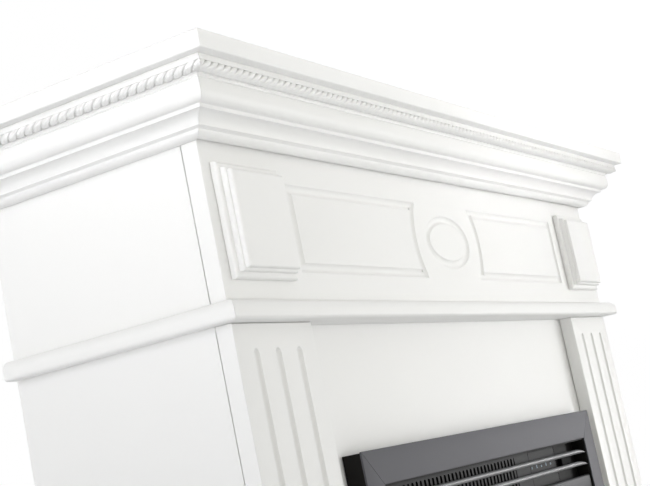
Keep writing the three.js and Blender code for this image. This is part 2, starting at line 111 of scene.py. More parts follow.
class Sheet:
    """Adds nodes to one node tree and links them as it goes."""

    def __init__(self, tree: bpy.types.NodeTree) -> None:
        """Takes the tree to add to."""
        self.tree = tree

    def put(self, kind: str, inputs: dict[str, object] | None = None, **settings: object) -> bpy.types.Node:
        """Adds a node.

        Args:
            kind: The node's type name.
            inputs: What its inputs are fed with, by name.
            settings: Properties to set on it.

        Returns:
            The new node.
        """
        node = self.tree.nodes.new(kind)
        for key, value in settings.items():
            setattr(node, key, value)
        self.feed_all(node, inputs or {})
        return node

    def feed(self, socket: bpy.types.NodeSocket, value: object) -> None:
        """Links an input to a socket, or sets its plain value.

        Args:
            socket: The input.
            value: The socket to link it to, or the plain value.
        """
        if isinstance(value, bpy.types.NodeSocket):
            self.tree.links.new(value, socket)
        else:
            socket.default_value = value

    def feed_all(self, node: bpy.types.Node, inputs: dict[str, object]) -> None:
        """Feeds several inputs of a node.

        Args:
            node: The node.
            inputs: A socket or a plain value for each input, by name.
        """
        for label, value in inputs.items():
            self.feed(node.inputs[label], value)

    def maths(self, kind: str, operation: str, *values: object) -> bpy.types.NodeSocket:
        """Adds a maths node.

        Args:
            kind: ShaderNodeMath or ShaderNodeVectorMath.
            operation: What it works out.
            values: Its inputs, sockets or plain values.

        Returns:
            The result's socket.
        """
        node = self.put(kind, operation=operation)
        for socket, value in zip(node.inputs, values):
            self.feed(socket, value)
        return node.outputs[0]

    def sum(self, operation: str, *values: object) -> bpy.types.NodeSocket:
        """Adds a scalar maths node and gives its result."""
        return self.maths("ShaderNodeMath", operation, *values)

    def noise(self, place: bpy.types.NodeSocket, scale: object, detail: float) -> bpy.types.NodeSocket:
        """Adds a noise texture.

        Args:
            place: Where it is read.
            scale: How fine it is, a socket or a plain value.
            detail: How many finer layers lie over it.

        Returns:
            The noise, from 0 to 1.
        """
        texture = self.put("ShaderNodeTexNoise", {"Vector": place, "Scale": scale, "Detail": detail})
        return texture.outputs["Fac"]

    def end_form(self, form: bpy.types.NodeSocket) -> None:
        """Ends a tree of geometry with Realize Instances and Set Material.

        Args:
            form: The geometry that the tree gives.
        """
        real = self.put("GeometryNodeRealizeInstances", {"Geometry": form})
        finish = self.put("GeometryNodeSetMaterial", {"Geometry": real.outputs[0]})
        self.put("NodeGroupOutput", {"Geometry": finish.outputs[0]})


def new_group(name: str, kind: str, sockets: Iterable[tuple[str, str, str]]) -> bpy.types.NodeTree:
    """Makes an empty node group with its sockets.

    Args:
        name: The group's name.
        kind: ShaderNodeTree or GeometryNodeTree.
        sockets: For each socket its name, INPUT or OUTPUT, and its type's last word.

    Returns:
        The group.
    """
    tree = bpy.data.node_groups.new(name, kind)
    for label, way, last_word in sockets:
        tree.interface.new_socket(name=label, in_out=way, socket_type=f"NodeSocket{last_word}")
    return tree


# Finishes

DRIFT_SCALE = 5.0
DRIFT_DETAIL = 3.0
TEXTURE_DETAIL = 2.0
STREAK_DETAIL = 3.0


def paint_skin_group() -> bpy.types.NodeTree:
    """Builds the effect that every painted or moulded face shares: slow drift, fine texture and streaks.

    Returns:
        A shader group with Color, Roughness and Height.
    """
    tree = new_group("paint skin", "ShaderNodeTree", [
        ("Color", "INPUT", "Color"),
        ("Drift Color", "INPUT", "Color"),
        ("Roughness", "INPUT", "Float"),
        ("Roughness Spread", "INPUT", "Float"),
        ("Texture Scale", "INPUT", "Float"),
        ("Streak Stretch", "INPUT", "Vector"),
        ("Streak Scale", "INPUT", "Float"),
        ("Streak Share", "INPUT", "Float"),
        ("Color", "OUTPUT", "Color"),
        ("Roughness", "OUTPUT", "Float"),
        ("Height", "OUTPUT", "Float"),
    ])
    sheet = Sheet(tree)
    given = sheet.put("NodeGroupInput").outputs
    place = sheet.put("ShaderNodeTexCoord").outputs["Object"]
    drift = sheet.noise(place, DRIFT_SCALE, DRIFT_DETAIL)
    fine = sheet.noise(place, given["Texture Scale"], TEXTURE_DETAIL)
    stretched = sheet.maths("ShaderNodeVectorMath", "MULTIPLY", place, given["Streak Stretch"])
    streak = sheet.noise(stretched, given["Streak Scale"], STREAK_DETAIL)
    mix = sheet.put("ShaderNodeMix", {
        "Factor": drift,
        "A": given["Color"],
        "B": given["Drift Color"],
    }, data_type="RGBA")
    height = sheet.put("ShaderNodeMix", {
        "Factor": given["Streak Share"],
        "A": fine,
        "B": streak,
    }, data_type="FLOAT")
    centred = sheet.sum("SUBTRACT", height.outputs["Result"], 0.5)
    spread = sheet.sum("MULTIPLY", centred, given["Roughness Spread"])
    sheet.put("NodeGroupOutput", {
        "Color": mix.outputs["Result"],
        "Roughness": sheet.sum("ADD", given["Roughness"], spread),
        "Height": height.outputs["Result"],
    })
    return tree


@dataclass(frozen=True)
class Finish:
    """One finish: a painted, moulded or bare metal surface with its own fine texture."""

    name: str
    color: tuple[float, float, float]
    drift: tuple[float, float, float]
    roughness: float
    spread: float = 0.05
    metallic: float = 0.0
    texture_scale: float = 500.0
    grain: Grain = Grain.NONE
    streak_scale: float = 700.0
    streak_share: float = 0.0
    bump: float = 0.05
    bump_distance: float = 0.0002
    coat: float = 0.0
    coat_roughness: float = 0.15
    specular: float = 0.5

    def material(self, skin: bpy.types.NodeTree) -> bpy.types.Material:
        """Builds the material.

        Args:
            skin: The shared paint skin group.

        Returns:
            The material.
        """
        made = bpy.data.materials.new(self.name)
        made.use_nodes = True
        sheet = Sheet(made.node_tree)
        group = sheet.put("ShaderNodeGroup", {
            "Color": (*self.color, 1.0),
            "Drift Color": (*self.drift, 1.0),
            "Roughness": self.roughness,
            "Roughness Spread": self.spread,
            "Texture Scale": self.texture_scale,
            "Streak Stretch": self.grain.value,
            "Streak Scale": self.streak_scale,
            "Streak Share": self.streak_share,
        }, node_tree=skin)
        bump = sheet.put("ShaderNodeBump", {
            "Strength": self.bump,
            "Distance": self.bump_distance,
            "Height": group.outputs["Height"],
        })
        sheet.feed_all(made.node_tree.nodes["Principled BSDF"], {
            "Base Color": group.outputs["Color"],
            "Roughness": group.outputs["Roughness"],
            "Normal": bump.outputs["Normal"],
            "Metallic": self.metallic,
            "Specular IOR Level": self.specular,
            "Coat Weight": self.coat,
            "Coat Roughness": self.coat_roughness,
        })
        return made


WHITE = (0.868, 0.865, 0.855)
WHITE_DRIFT = (0.848, 0.846, 0.837)
BOARD_PAINT = Finish("painted board", WHITE, WHITE_DRIFT, 0.42, bump=0.08)
MOULDING_PAINT_X = Finish(
    "painted moulding along X", WHITE, WHITE_DRIFT, 0.40, grain=Grain.ALONG_X, streak_share=0.8,
    streak_scale=900.0, bump=0.16)
MOULDING_PAINT_Y = Finish(
    "painted moulding along Y", WHITE, WHITE_DRIFT, 0.40, grain=Grain.ALONG_Y, streak_share=0.8,
    streak_scale=900.0, bump=0.16)
CASE_PAINT = Finish(
    "black case paint", (0.008, 0.0075, 0.007), (0.010, 0.0095, 0.009), 0.5,
    texture_scale=1400.0, bump=0.2, specular=0.1)
BEZEL_PAINT = Finish(
    "grey metallic bezel paint", (0.076, 0.075, 0.085), (0.086, 0.085, 0.095), 0.52, spread=0.12,
    metallic=0.35, texture_scale=2600.0, bump=0.10, specular=0.35)
LOUVRE_METAL = Finish(
    "satin louvre metal", (0.34, 0.34, 0.345), (0.31, 0.31, 0.315), 0.58, spread=0.12, metallic=1.0,
    grain=Grain.ALONG_X, streak_scale=1500.0, streak_share=0.9, bump=0.12)
RAIL_METAL = Finish(
    "dark satin rail metal", (0.046, 0.046, 0.048), (0.042, 0.042, 0.044), 0.42, spread=0.12, metallic=1.0,
    grain=Grain.ALONG_X, streak_scale=1500.0, streak_share=0.9, bump=0.12)
PLATE_PAINT = Finish(
    "dark plate paint", (0.009, 0.0086, 0.010), (0.011, 0.0106, 0.012), 0.36,
    texture_scale=1800.0, bump=0.08, specular=0.09)
SWITCH_PLASTIC = Finish(
    "black switch plastic", (0.004, 0.004, 0.0045), (0.006, 0.006, 0.0065), 0.5,
    texture_scale=2200.0, bump=0.15, specular=0.03)
MARK_INK = Finish(
    "pale blue mark ink", (0.16, 0.24, 0.31), (0.14, 0.22, 0.28), 0.5, texture_scale=3000.0)
GLASS_TINT = Finish(
    "dark tinted glass", (0.008, 0.008, 0.009), (0.010, 0.010, 0.011), 0.06, spread=0.01,
    texture_scale=60.0, bump=0.01, coat=0.6)


class Finishes:
    """Hands out each finish's material, made once."""

    def __init__(self) -> None:
        """Builds the shared group."""
        self.skin = paint_skin_group()
        self.made: dict[str, bpy.types.Material] = {}

    def of(self, finish: Finish) -> bpy.types.Material:
        """Gives the material of a finish.

        Args:
            finish: The finish.

        Returns:
            Its material, the same one each time.
        """
        if finish.name not in self.made:
            self.made[finish.name] = finish.material(self.skin)
        return self.made[finish.name]


# Outlines and solids


def arc(centre: Point2, radii: Point2, start: float, end: float, steps: int) -> list[Point2]:
    """Points of an arc of an ellipse.

    Args:
        centre: Its centre.
        radii: Its two half axes.
        start: The first angle in radians.
        end: The last angle.
        steps: The number of straight steps.

    Returns:
        The points, both ends included.
    """
    angles = [start + (end - start) * i / steps for i in range(steps + 1)]
    return [(centre[0] + radii[0] * math.cos(a), centre[1] + radii[1] * math.sin(a)) for a in angles]


class Outline:
    """A closed outline whose stretches are marked as flat or round."""

    def __init__(self, closes_round: bool = False) -> None:
        """Starts with no points.

        Args:
            closes_round: Whether the stretch back to the first point is round.
        """
        self.points: list[Point2] = []
        self.round: list[bool] = []
        self.closes_round = closes_round

    def to(self, x: float, y: float) -> "Outline":
        """Goes straight to a point."""
        return self.along([(x, y)], False)

    def along(self, points: Sequence[Point2], is_round: bool = True) -> "Outline":
        """Goes through points, the first of them reached by a flat stretch.

        Args:
            points: The points.
            is_round: Whether the stretches between them are round.

        Returns:
            The outline itself.
        """
        for i, point in enumerate(points):
            if self.points:
                self.round.append(is_round and i > 0)
            self.points.append(point)
        return self

    def flags(self) -> list[bool]:
        """Whether each stretch is round, the closing one included."""
        return [*self.round, self.closes_round]

    def eased(self, radius: float, spared: int = 0) -> "Outline":
        """Rounds every corner between two flat stretches.

        Args:
            radius: The radius of the rounding.
            spared: How many of the first corners, and the last one if any, stay sharp against a neighbour.

        Returns:
            A new outline.
        """
        flags = self.flags()
        count = len(self.points)
        done = Outline()
        for i, point in enumerate(self.points):
            here = Vector(point)
            back = Vector(self.points[i - 1]) - here
            ahead = Vector(self.points[(i + 1) % count]) - here
            turn = math.pi - back.angle(ahead)
            is_spared = spared > 0 and (i < spared or i == count - 1)
            if is_spared or flags[i - 1] or flags[i] or turn < SLIGHT_TURN:
                done.points.append(point)
                done.round.append(flags[i])
                continue
            most = min(back.length * MOST_CUT_SHARE, ahead.length * MOST_CUT_SHARE)
            cut = min(radius * math.tan(turn / 2), most)
            first = here + back.normalized() * cut
            last = here + ahead.normalized() * cut
            for j in range(EASE_STEPS + 1):
                t = j / EASE_STEPS
                bend = first * (1 - t) ** 2 + here * 2 * t * (1 - t) + last * t * t
                done.points.append(tuple(bend))
                done.round.append(j < EASE_STEPS)
        done.round.pop()
        return done


class Solid:
    """Gathers the points and faces of one closed piece."""

    def __init__(self) -> None:
        """Starts empty."""
        self.points: list[Vector] = []
        self.faces: list[tuple[int, ...]] = []
        self.smooth: list[bool] = []
        self.sharp: set[tuple[int, int]] = set()

    def ring(self, points: Iterable[Sequence[float]]) -> list[int]:
        """Adds points.

        Args:
            points: The points.

        Returns:
            Their numbers.
        """
        first = len(self.points)
        self.points.extend(Vector(point) for point in points)
        return list(range(first, len(self.points)))

    def upright(
        self, low: Sequence[float], high: Sequence[float], y: float, inset: float = 0.0,
    ) -> list[int]:
        """Adds the corners of an upright rectangle that faces -Y.

        Args:
            low: A point with its lowest x and z.
            high: A point with its highest x and z.
            y: Where it lies.
            inset: How far it is drawn in on all sides.

        Returns:
            The numbers of its corners.
        """
        x0, x1, z0, z1 = low[0] + inset, high[0] - inset, low[2] + inset, high[2] - inset
        return self.ring([(x0, y, z0), (x1, y, z0), (x1, y, z1), (x0, y, z1)])

    def face(self, corners: Sequence[int], smooth: bool = False) -> None:
        """Adds a face."""
        self.faces.append(tuple(corners))
        self.smooth.append(smooth)

    def band(self, one: Sequence[int], other: Sequence[int], smooth: Sequence[bool] | bool) -> None:
        """Joins two closed rings of as many points with a band of faces.

        Args:
            one: The first ring.
            other: The second ring.
            smooth: Whether each face, or all, is part of a round surface.
        """
        count = len(one)
        for i in range(count):
            j = (i + 1) % count
            is_smooth = smooth if isinstance(smooth, bool) else smooth[i]
            self.face((one[i], one[j], other[j], other[i]), is_smooth)

    def crease(self, one: Sequence[int], other: Sequence[int]) -> None:
        """Marks the edges between the points of two rings as sharp."""
        self.sharp.update((min(a, b), max(a, b)) for a, b in zip(one, other))

    def fill(self, rings: Sequence[Sequence[int]]) -> None:
        """Fills a flat face.

        Args:
            rings: The ring round it, and then the rings of its openings.
        """
        loops = [[self.points[i] for i in ring] for ring in rings]
        numbers = [i for ring in rings for i in ring]
        for triangle in tessellate_polygon(loops):
            self.face([numbers[i] for i in triangle])

    def made(self, name: str) -> bpy.types.Object:
        """Makes the object, with its faces pointing outwards.

        Args:
            name: The piece's name.

        Returns:
            The object, in the scene.
        """
        mesh = bpy.data.meshes.new(name)
        mesh.from_pydata(self.points, [], self.faces)
        mesh.polygons.foreach_set("use_smooth", self.smooth)
        turn_outwards(mesh)
        mesh.set_sharp_from_angle(angle=SHARP_ANGLE)
        for edge in mesh.edges:
            if tuple(sorted(edge.vertices)) in self.sharp:
                edge.use_edge_sharp = True
        return in_scene(name, mesh)


def turn_outwards(mesh: bpy.types.Mesh) -> None:
    """Turns every face of a closed mesh outwards.

    Args:
        mesh: The mesh.
    """
    work = bmesh.new()
    work.from_mesh(mesh)
    bmesh.ops.recalc_face_normals(work, faces=work.faces)
    work.to_mesh(mesh)
    work.free()


def in_scene(name: str, mesh: bpy.types.Mesh) -> bpy.types.Object:
    """Puts a mesh into the scene as an object at the origin.

    Args:
        name: The object's name.
        mesh: The mesh.

    Returns:
        The object.
    """
    piece = bpy.data.objects.new(name, mesh)
    bpy.context.scene.collection.objects.link(piece)
    return piece


def eased_block(name: str, low: Sequence[float], high: Sequence[float], ease: float) -> bpy.types.Object:
    """A block whose edges are all eased.

    Args:
        name: The piece's name.
        low: Its lowest corner.
        high: Its highest corner.
        ease: The radius of its edges.

    Returns:
        The object.
    """
    work = bmesh.new()
    bmesh.ops.create_cube(work, size=1.0)
    size = Vector(high) - Vector(low)
    middle = (Vector(high) + Vector(low)) / 2
    work.transform(Matrix.Translation(middle) @ Matrix.Diagonal((*size, 1.0)))
    rounded = bmesh.ops.bevel(
        work, geom=work.edges[:], offset=ease, segments=EASE_STEPS, affect="EDGES", profile=0.5)
    for face in rounded["faces"]:
        face.smooth = True
    mesh = bpy.data.meshes.new(name)
    work.to_mesh(mesh)
    work.free()
    return in_scene(name, mesh)


def loft(name: str, outline: Outline, places: Sequence[Place]) -> bpy.types.Object:
    """A solid between outlines laid in several places, with flat ends.

    Args:
        name: The piece's name.
        outline: The outline.
        places: For each section, where a point of the outline lies.

    Returns:
        The object.
    """
    solid = Solid()
    rings = [solid.ring(place(point) for point in outline.points) for place in places]
    for one, other in zip(rings, rings[1:]):
        solid.band(one, other, outline.flags())
    solid.face(rings[0])
    solid.face(rings[-1])
    return solid.made(name)


def joined(name: str, pieces: Sequence[bpy.types.Object]) -> bpy.types.Object:
    """Joins objects into one mesh.

    Args:
        name: The new piece's name.
        pieces: The objects, which are then removed.

    Returns:
        The joined object.
    """
    work = bmesh.new()
    for piece in pieces:
        work.from_mesh(piece.data)
    mesh = bpy.data.meshes.new(name)
    work.to_mesh(mesh)
    work.free()
    for piece in pieces:
        bpy.data.objects.remove(piece)
    return in_scene(name, mesh)


def dressed(
    piece: bpy.types.Object, material: bpy.types.Material, nodes: Sequence[str] = (),
) -> None:
    """Gives a new piece its material and ties it to the frame.

    Args:
        piece: The piece.
        material: Its material.
        nodes: The CAD nodes that it stands for.
    """
    piece.data.materials.clear()
    piece.data.materials.append(material)
    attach(piece, "root")
    if nodes:
        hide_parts(*nodes)
    stands_for = ", ".join(nodes) or "no node"
    LOG.info("piece %s: %d faces, for %s", piece.name, len(piece.data.polygons), stands_for)


def repainted(node: str, material: bpy.types.Material) -> None:
    """Gives a CAD node that stays a better material.

    Args:
        node: The node's name.
        material: Its new material.
    """
    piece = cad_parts[node]
    if not piece.material_slots:
        piece.data.materials.append(material)
    for slot in piece.material_slots:
        slot.material = material
    LOG.info("node %s repainted", node)


def plain_mesh(
    host: bpy.types.Object, tree: bpy.types.NodeTree, values: dict[str, object],
) -> bpy.types.Mesh:
    """Runs a Geometry Nodes tree on a host and gives its result as a plain mesh.

    Args:
        host: An object to carry the modifier. It is removed.
        tree: The tree.
        values: The tree's inputs by name.

    Returns:
        The mesh.
    """
    modifier = host.modifiers.new("form", "NODES")
    modifier.node_group = tree
    for item in tree.interface.items_tree:
        if item.item_type == "SOCKET" and item.in_out == "INPUT" and item.name in values:
            modifier[item.identifier] = values[item.name]
    graph = bpy.context.evaluated_depsgraph_get()
    graph.update()
    mesh = bpy.data.meshes.new_from_object(host.evaluated_get(graph))
    host.modifiers.remove(modifier)
    bpy.data.objects.remove(host)
    return mesh


# The frame's places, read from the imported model

FRIEZE_LOW, FRIEZE_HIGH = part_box("frieze_board")
SHELF_LOW, SHELF_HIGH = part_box("mantel_shelf")
FACE_Y = FRIEZE_LOW.y
BACK_Y = SHELF_HIGH.y
HALF_WIDTH = FRIEZE_HIGH.x
SHELF_UNDERSIDE = SHELF_LOW.z


@dataclass(frozen=True)
class MouldingPlan:
    """Where a moulding's outline lies along each run, with its mitres."""

    run: Run
    gap: float = JOINT_GAP

    def start(self, point: Point2) -> Vector:
        """Where an outline point lies at the left or front end of the run.

        Args:
            point: Its reach out of the frame, and its height.

        Returns:
            The place.
        """
        reach, height = point
        if self.run is Run.FRONT:
            return Vector((-HALF_WIDTH - reach + self.gap, FACE_Y - reach, height))
        return Vector((self.run.side * (HALF_WIDTH + reach), FACE_Y - reach, height))

    def end(self, point: Point2) -> Vector:
        """Where an outline point lies at the right or back end of the run.

        Args:
            point: Its reach out of the frame, and its height.

        Returns:
            The place.
        """
        reach, height = point
        if self.run is Run.FRONT:
            return Vector((HALF_WIDTH + reach - self.gap, FACE_Y - reach, height))
        return Vector((self.run.side * (HALF_WIDTH + reach), BACK_Y, height))

    def paint(self) -> Finish:
        """The finish whose streaks follow the run."""
        return MOULDING_PAINT_X if self.run is Run.FRONT else MOULDING_PAINT_Y


@dataclass
class Shelf:
    """The shelf board with softly rounded edges."""

    ease: float = 1.3 * MM

    def build(self) -> bpy.types.Object:
        """Builds the board."""
        return eased_block("shelf_board", SHELF_LOW, SHELF_HIGH, self.ease)

    def dress(self, finishes: Finishes) -> None:
        """Builds and paints it."""
        dressed(self.build(), finishes.of(BOARD_PAINT), ["mantel_shelf"])


@dataclass
class Cornice:
    """The moulding under the shelf: rounded band, rope's seat, ovolo, fillet, cove and foot."""

    band_height: float = 5.8 * MM
    band_reach: float = 51 * MM
    band_round: float = 1.5 * MM
    seat_height: float = 6.3 * MM
    seat_depth: float = 11.8 * MM
    ovolo_height: float = 21.1 * MM
    ovolo_reach: float = 39.3 * MM
    ovolo_lean: float = 0.7 * MM
    ovolo_round: float = 7.9 * MM
    ovolo_undercut: float = 6.8 * MM
    fillet_height: float = 3.6 * MM
    fillet_reach: float = 29.5 * MM
    line_drop: float = 2.1 * MM
    line_width: float = 1.2 * MM
    line_depth: float = 1.1 * MM
    cove_height: float = 10 * MM
    cove_reach: float = 17.5 * MM
    crease_height: float = 1.6 * MM
    foot_height: float = 5.6 * MM
    foot_reach: float = 13 * MM
    foot_round: float = 7.4 * MM
    front_foot_gap: float = 3.8 * MM
    side_foot_gap: float = 0.6 * MM
    foot_gap_depth: float = 12 * MM
    ease: float = 0.5 * MM
    steps: int = 12

    def scored_line(self, seat: float, ovolo: float) -> list[Point2]:
        """The three points of the fine line scored along the top of the ovolo.

        Args:
            seat: The height of the rope's seat.
            ovolo: The height of the ovolo's foot.

        Returns:
            Its upper edge, its bottom and its lower edge.
        """
        flat = seat - ovolo - self.ovolo_round
        edges = []
        for drop in (self.line_drop, self.line_drop + self.line_width):
            edges.append((self.ovolo_reach - self.ovolo_lean * (1 - drop / flat), seat - drop))
        upper, lower = edges
        return [upper, (upper[0] - self.line_depth, (upper[1] + lower[1]) / 2), lower]

    def outline(self, foot_gap: float) -> Outline:
        """The outline of a run, reach and height, from the shelf down.

        Args:
            foot_gap: The width of the shadow gap behind the foot.

        Returns:
            The outline.
        """
        band = SHELF_UNDERSIDE - self.band_height
        seat = band - self.seat_height
        ovolo = seat - self.ovolo_height
        fillet = ovolo - self.fillet_height
        cove = fillet - self.cove_height
        foot_top = cove - self.crease_height
        foot = foot_top - self.foot_height
        seat_reach = self.band_reach - self.seat_depth
        ovolo_centre = (self.ovolo_reach - self.ovolo_undercut, ovolo + self.ovolo_round)
        cove_radii = (self.fillet_reach - self.cove_reach, self.cove_height)
        foot_centre = (self.foot_reach - self.foot_round, foot_top)
        drawn = Outline()
        drawn.to(JOINT_GAP, SHELF_UNDERSIDE)
        band_centre = (self.band_reach - self.band_round, band)
        drawn.along(arc(band_centre, (self.band_round, self.band_height), QUARTER, 0, self.steps))
        drawn.to(seat_reach, band)
        drawn.to(seat_reach, seat)
        drawn.to(self.ovolo_reach - self.ovolo_lean, seat)
        for point in self.scored_line(seat, ovolo):
            drawn.to(*point)
        drawn.along(arc(ovolo_centre, (self.ovolo_undercut, self.ovolo_round), 0, -QUARTER, self.steps))
        drawn.to(self.fillet_reach, ovolo)
        drawn.to(self.fillet_reach, fillet)
        drawn.along(arc((self.fillet_reach, cove), cove_radii, QUARTER, math.pi, self.steps)[1:])
        drawn.along(arc(foot_centre, (self.foot_round, self.foot_height), 0, -QUARTER, self.steps))
        drawn.to(foot_gap, foot)
        drawn.to(foot_gap, foot + self.foot_gap_depth)
        drawn.to(JOINT_GAP, foot + self.foot_gap_depth)
        return drawn.eased(self.ease, 2)

    def dress(self, finishes: Finishes) -> None:
        """Builds and paints the three runs.

        Args:
            finishes: Hands out the materials.
        """
        for run in Run:
            outline = self.outline(self.front_foot_gap if run is Run.FRONT else self.side_foot_gap)
            plan = MouldingPlan(run)
            piece = loft(f"cornice_moulding_{run.value}", outline, [plan.start, plan.end])
            dressed(piece, finishes.of(plan.paint()), [f"cornice_{run.value}"])


def rope_tree() -> bpy.types.NodeTree:
    """Builds the tree of a rope strip with a plump section and a flat top and back, by one rule.

    Returns:
        A Geometry Nodes tree whose strip runs along X, faces -Y and has its centre on the X axis.
    """
    tree = new_group("rope strip", "GeometryNodeTree", [
        ("Geometry", "INPUT", "Geometry"),
        ("Length", "INPUT", "Float"),
        ("Rows", "INPUT", "Int"),
        ("Sides", "INPUT", "Int"),
        ("Pitch", "INPUT", "Float"),
        ("Half Depth", "INPUT", "Float"),
        ("Half Height", "INPUT", "Float"),
        ("Fullness", "INPUT", "Float"),
        ("Fuller Behind", "INPUT", "Float"),
        ("Groove Depth", "INPUT", "Float"),
        ("Crown Power", "INPUT", "Float"),
        ("Thread Depth", "INPUT", "Float"),
        ("Thread Power", "INPUT", "Float"),
        ("Threads", "INPUT", "Float"),
        ("Lean", "INPUT", "Float"),
        ("Flat Depth", "INPUT", "Float"),
        ("Flat Height", "INPUT", "Float"),
        ("Geometry", "OUTPUT", "Geometry"),
    ])
    sheet = Sheet(tree)
    given = sheet.put("NodeGroupInput").outputs
    tube = sheet.put("GeometryNodeMeshCylinder", {
        "Vertices": given["Sides"],
        "Side Segments": given["Rows"],
        "Radius": 1.0,
        "Depth": given["Length"],
    }, fill_type="NGON")
    parts = sheet.put("ShaderNodeSeparateXYZ", {
        "Vector": sheet.put("GeometryNodeInputPosition").outputs[0]})
    angle = sheet.sum("ARCTAN2", parts.outputs["Y"], parts.outputs["X"])
    along = parts.outputs["Z"]
    phase = sheet.sum("FRACT", sheet.sum("DIVIDE", along, given["Pitch"]))
    across = sheet.sum("SUBTRACT", sheet.sum("MULTIPLY", phase, 2.0), 1.0)
    fall = sheet.sum("POWER", sheet.sum("ABSOLUTE", across), given["Crown Power"])
    crown = sheet.sum("SQRT", sheet.sum("SUBTRACT", 1.0, sheet.sum("MINIMUM", fall, 1.0)))
    groove = sheet.sum("MULTIPLY", sheet.sum("SUBTRACT", 1.0, crown), given["Groove Depth"])
    turns = sheet.sum("MULTIPLY", sheet.sum("MULTIPLY", phase, given["Threads"]), math.pi)
    ridge = sheet.sum("ABSOLUTE", sheet.sum("SINE", turns))
    hollow = sheet.sum("POWER", sheet.sum("SUBTRACT", 1.0, ridge), given["Thread Power"])
    thread = sheet.sum("MULTIPLY", hollow, given["Thread Depth"])
    cosine, sine = sheet.sum("COSINE", angle), sheet.sum("SINE", angle)
    behind = sheet.sum("MINIMUM", cosine, 0.0)
    added = sheet.sum("MULTIPLY", given["Fuller Behind"], behind)
    fullness = sheet.sum("SUBTRACT", given["Fullness"], added)
    powers = [sheet.sum("POWER", sheet.sum("ABSOLUTE", part), fullness) for part in (cosine, sine)]
    full = sheet.sum("POWER", sheet.sum("ADD", *powers), sheet.sum("DIVIDE", -1.0, fullness))
    carved = sheet.sum("DIVIDE", sheet.sum("ADD", groove, thread), given["Half Height"])
    share = sheet.sum("SUBTRACT", full, carved)
    out = sheet.sum("MULTIPLY", sheet.sum("MULTIPLY", share, cosine), given["Half Depth"])
    out = sheet.sum("MAXIMUM", out, sheet.sum("MULTIPLY", given["Flat Depth"], -1.0))
    up = sheet.sum("MULTIPLY", sheet.sum("MULTIPLY", share, sine), given["Half Height"])
    up = sheet.sum("MINIMUM", up, given["Flat Height"])
    lean = sheet.sum("DIVIDE", sheet.sum("MULTIPLY", angle, given["Lean"]), math.pi)
    place = sheet.put("ShaderNodeCombineXYZ", {
        "X": sheet.sum("ADD", along, lean),
        "Y": sheet.sum("MULTIPLY", out, -1.0),
        "Z": up,
    })
    moved = sheet.put("GeometryNodeSetPosition", {
        "Geometry": tube.outputs["Mesh"],
        "Position": place.outputs[0],
    })
    sheet.end_form(moved.outputs[0])
    return tree


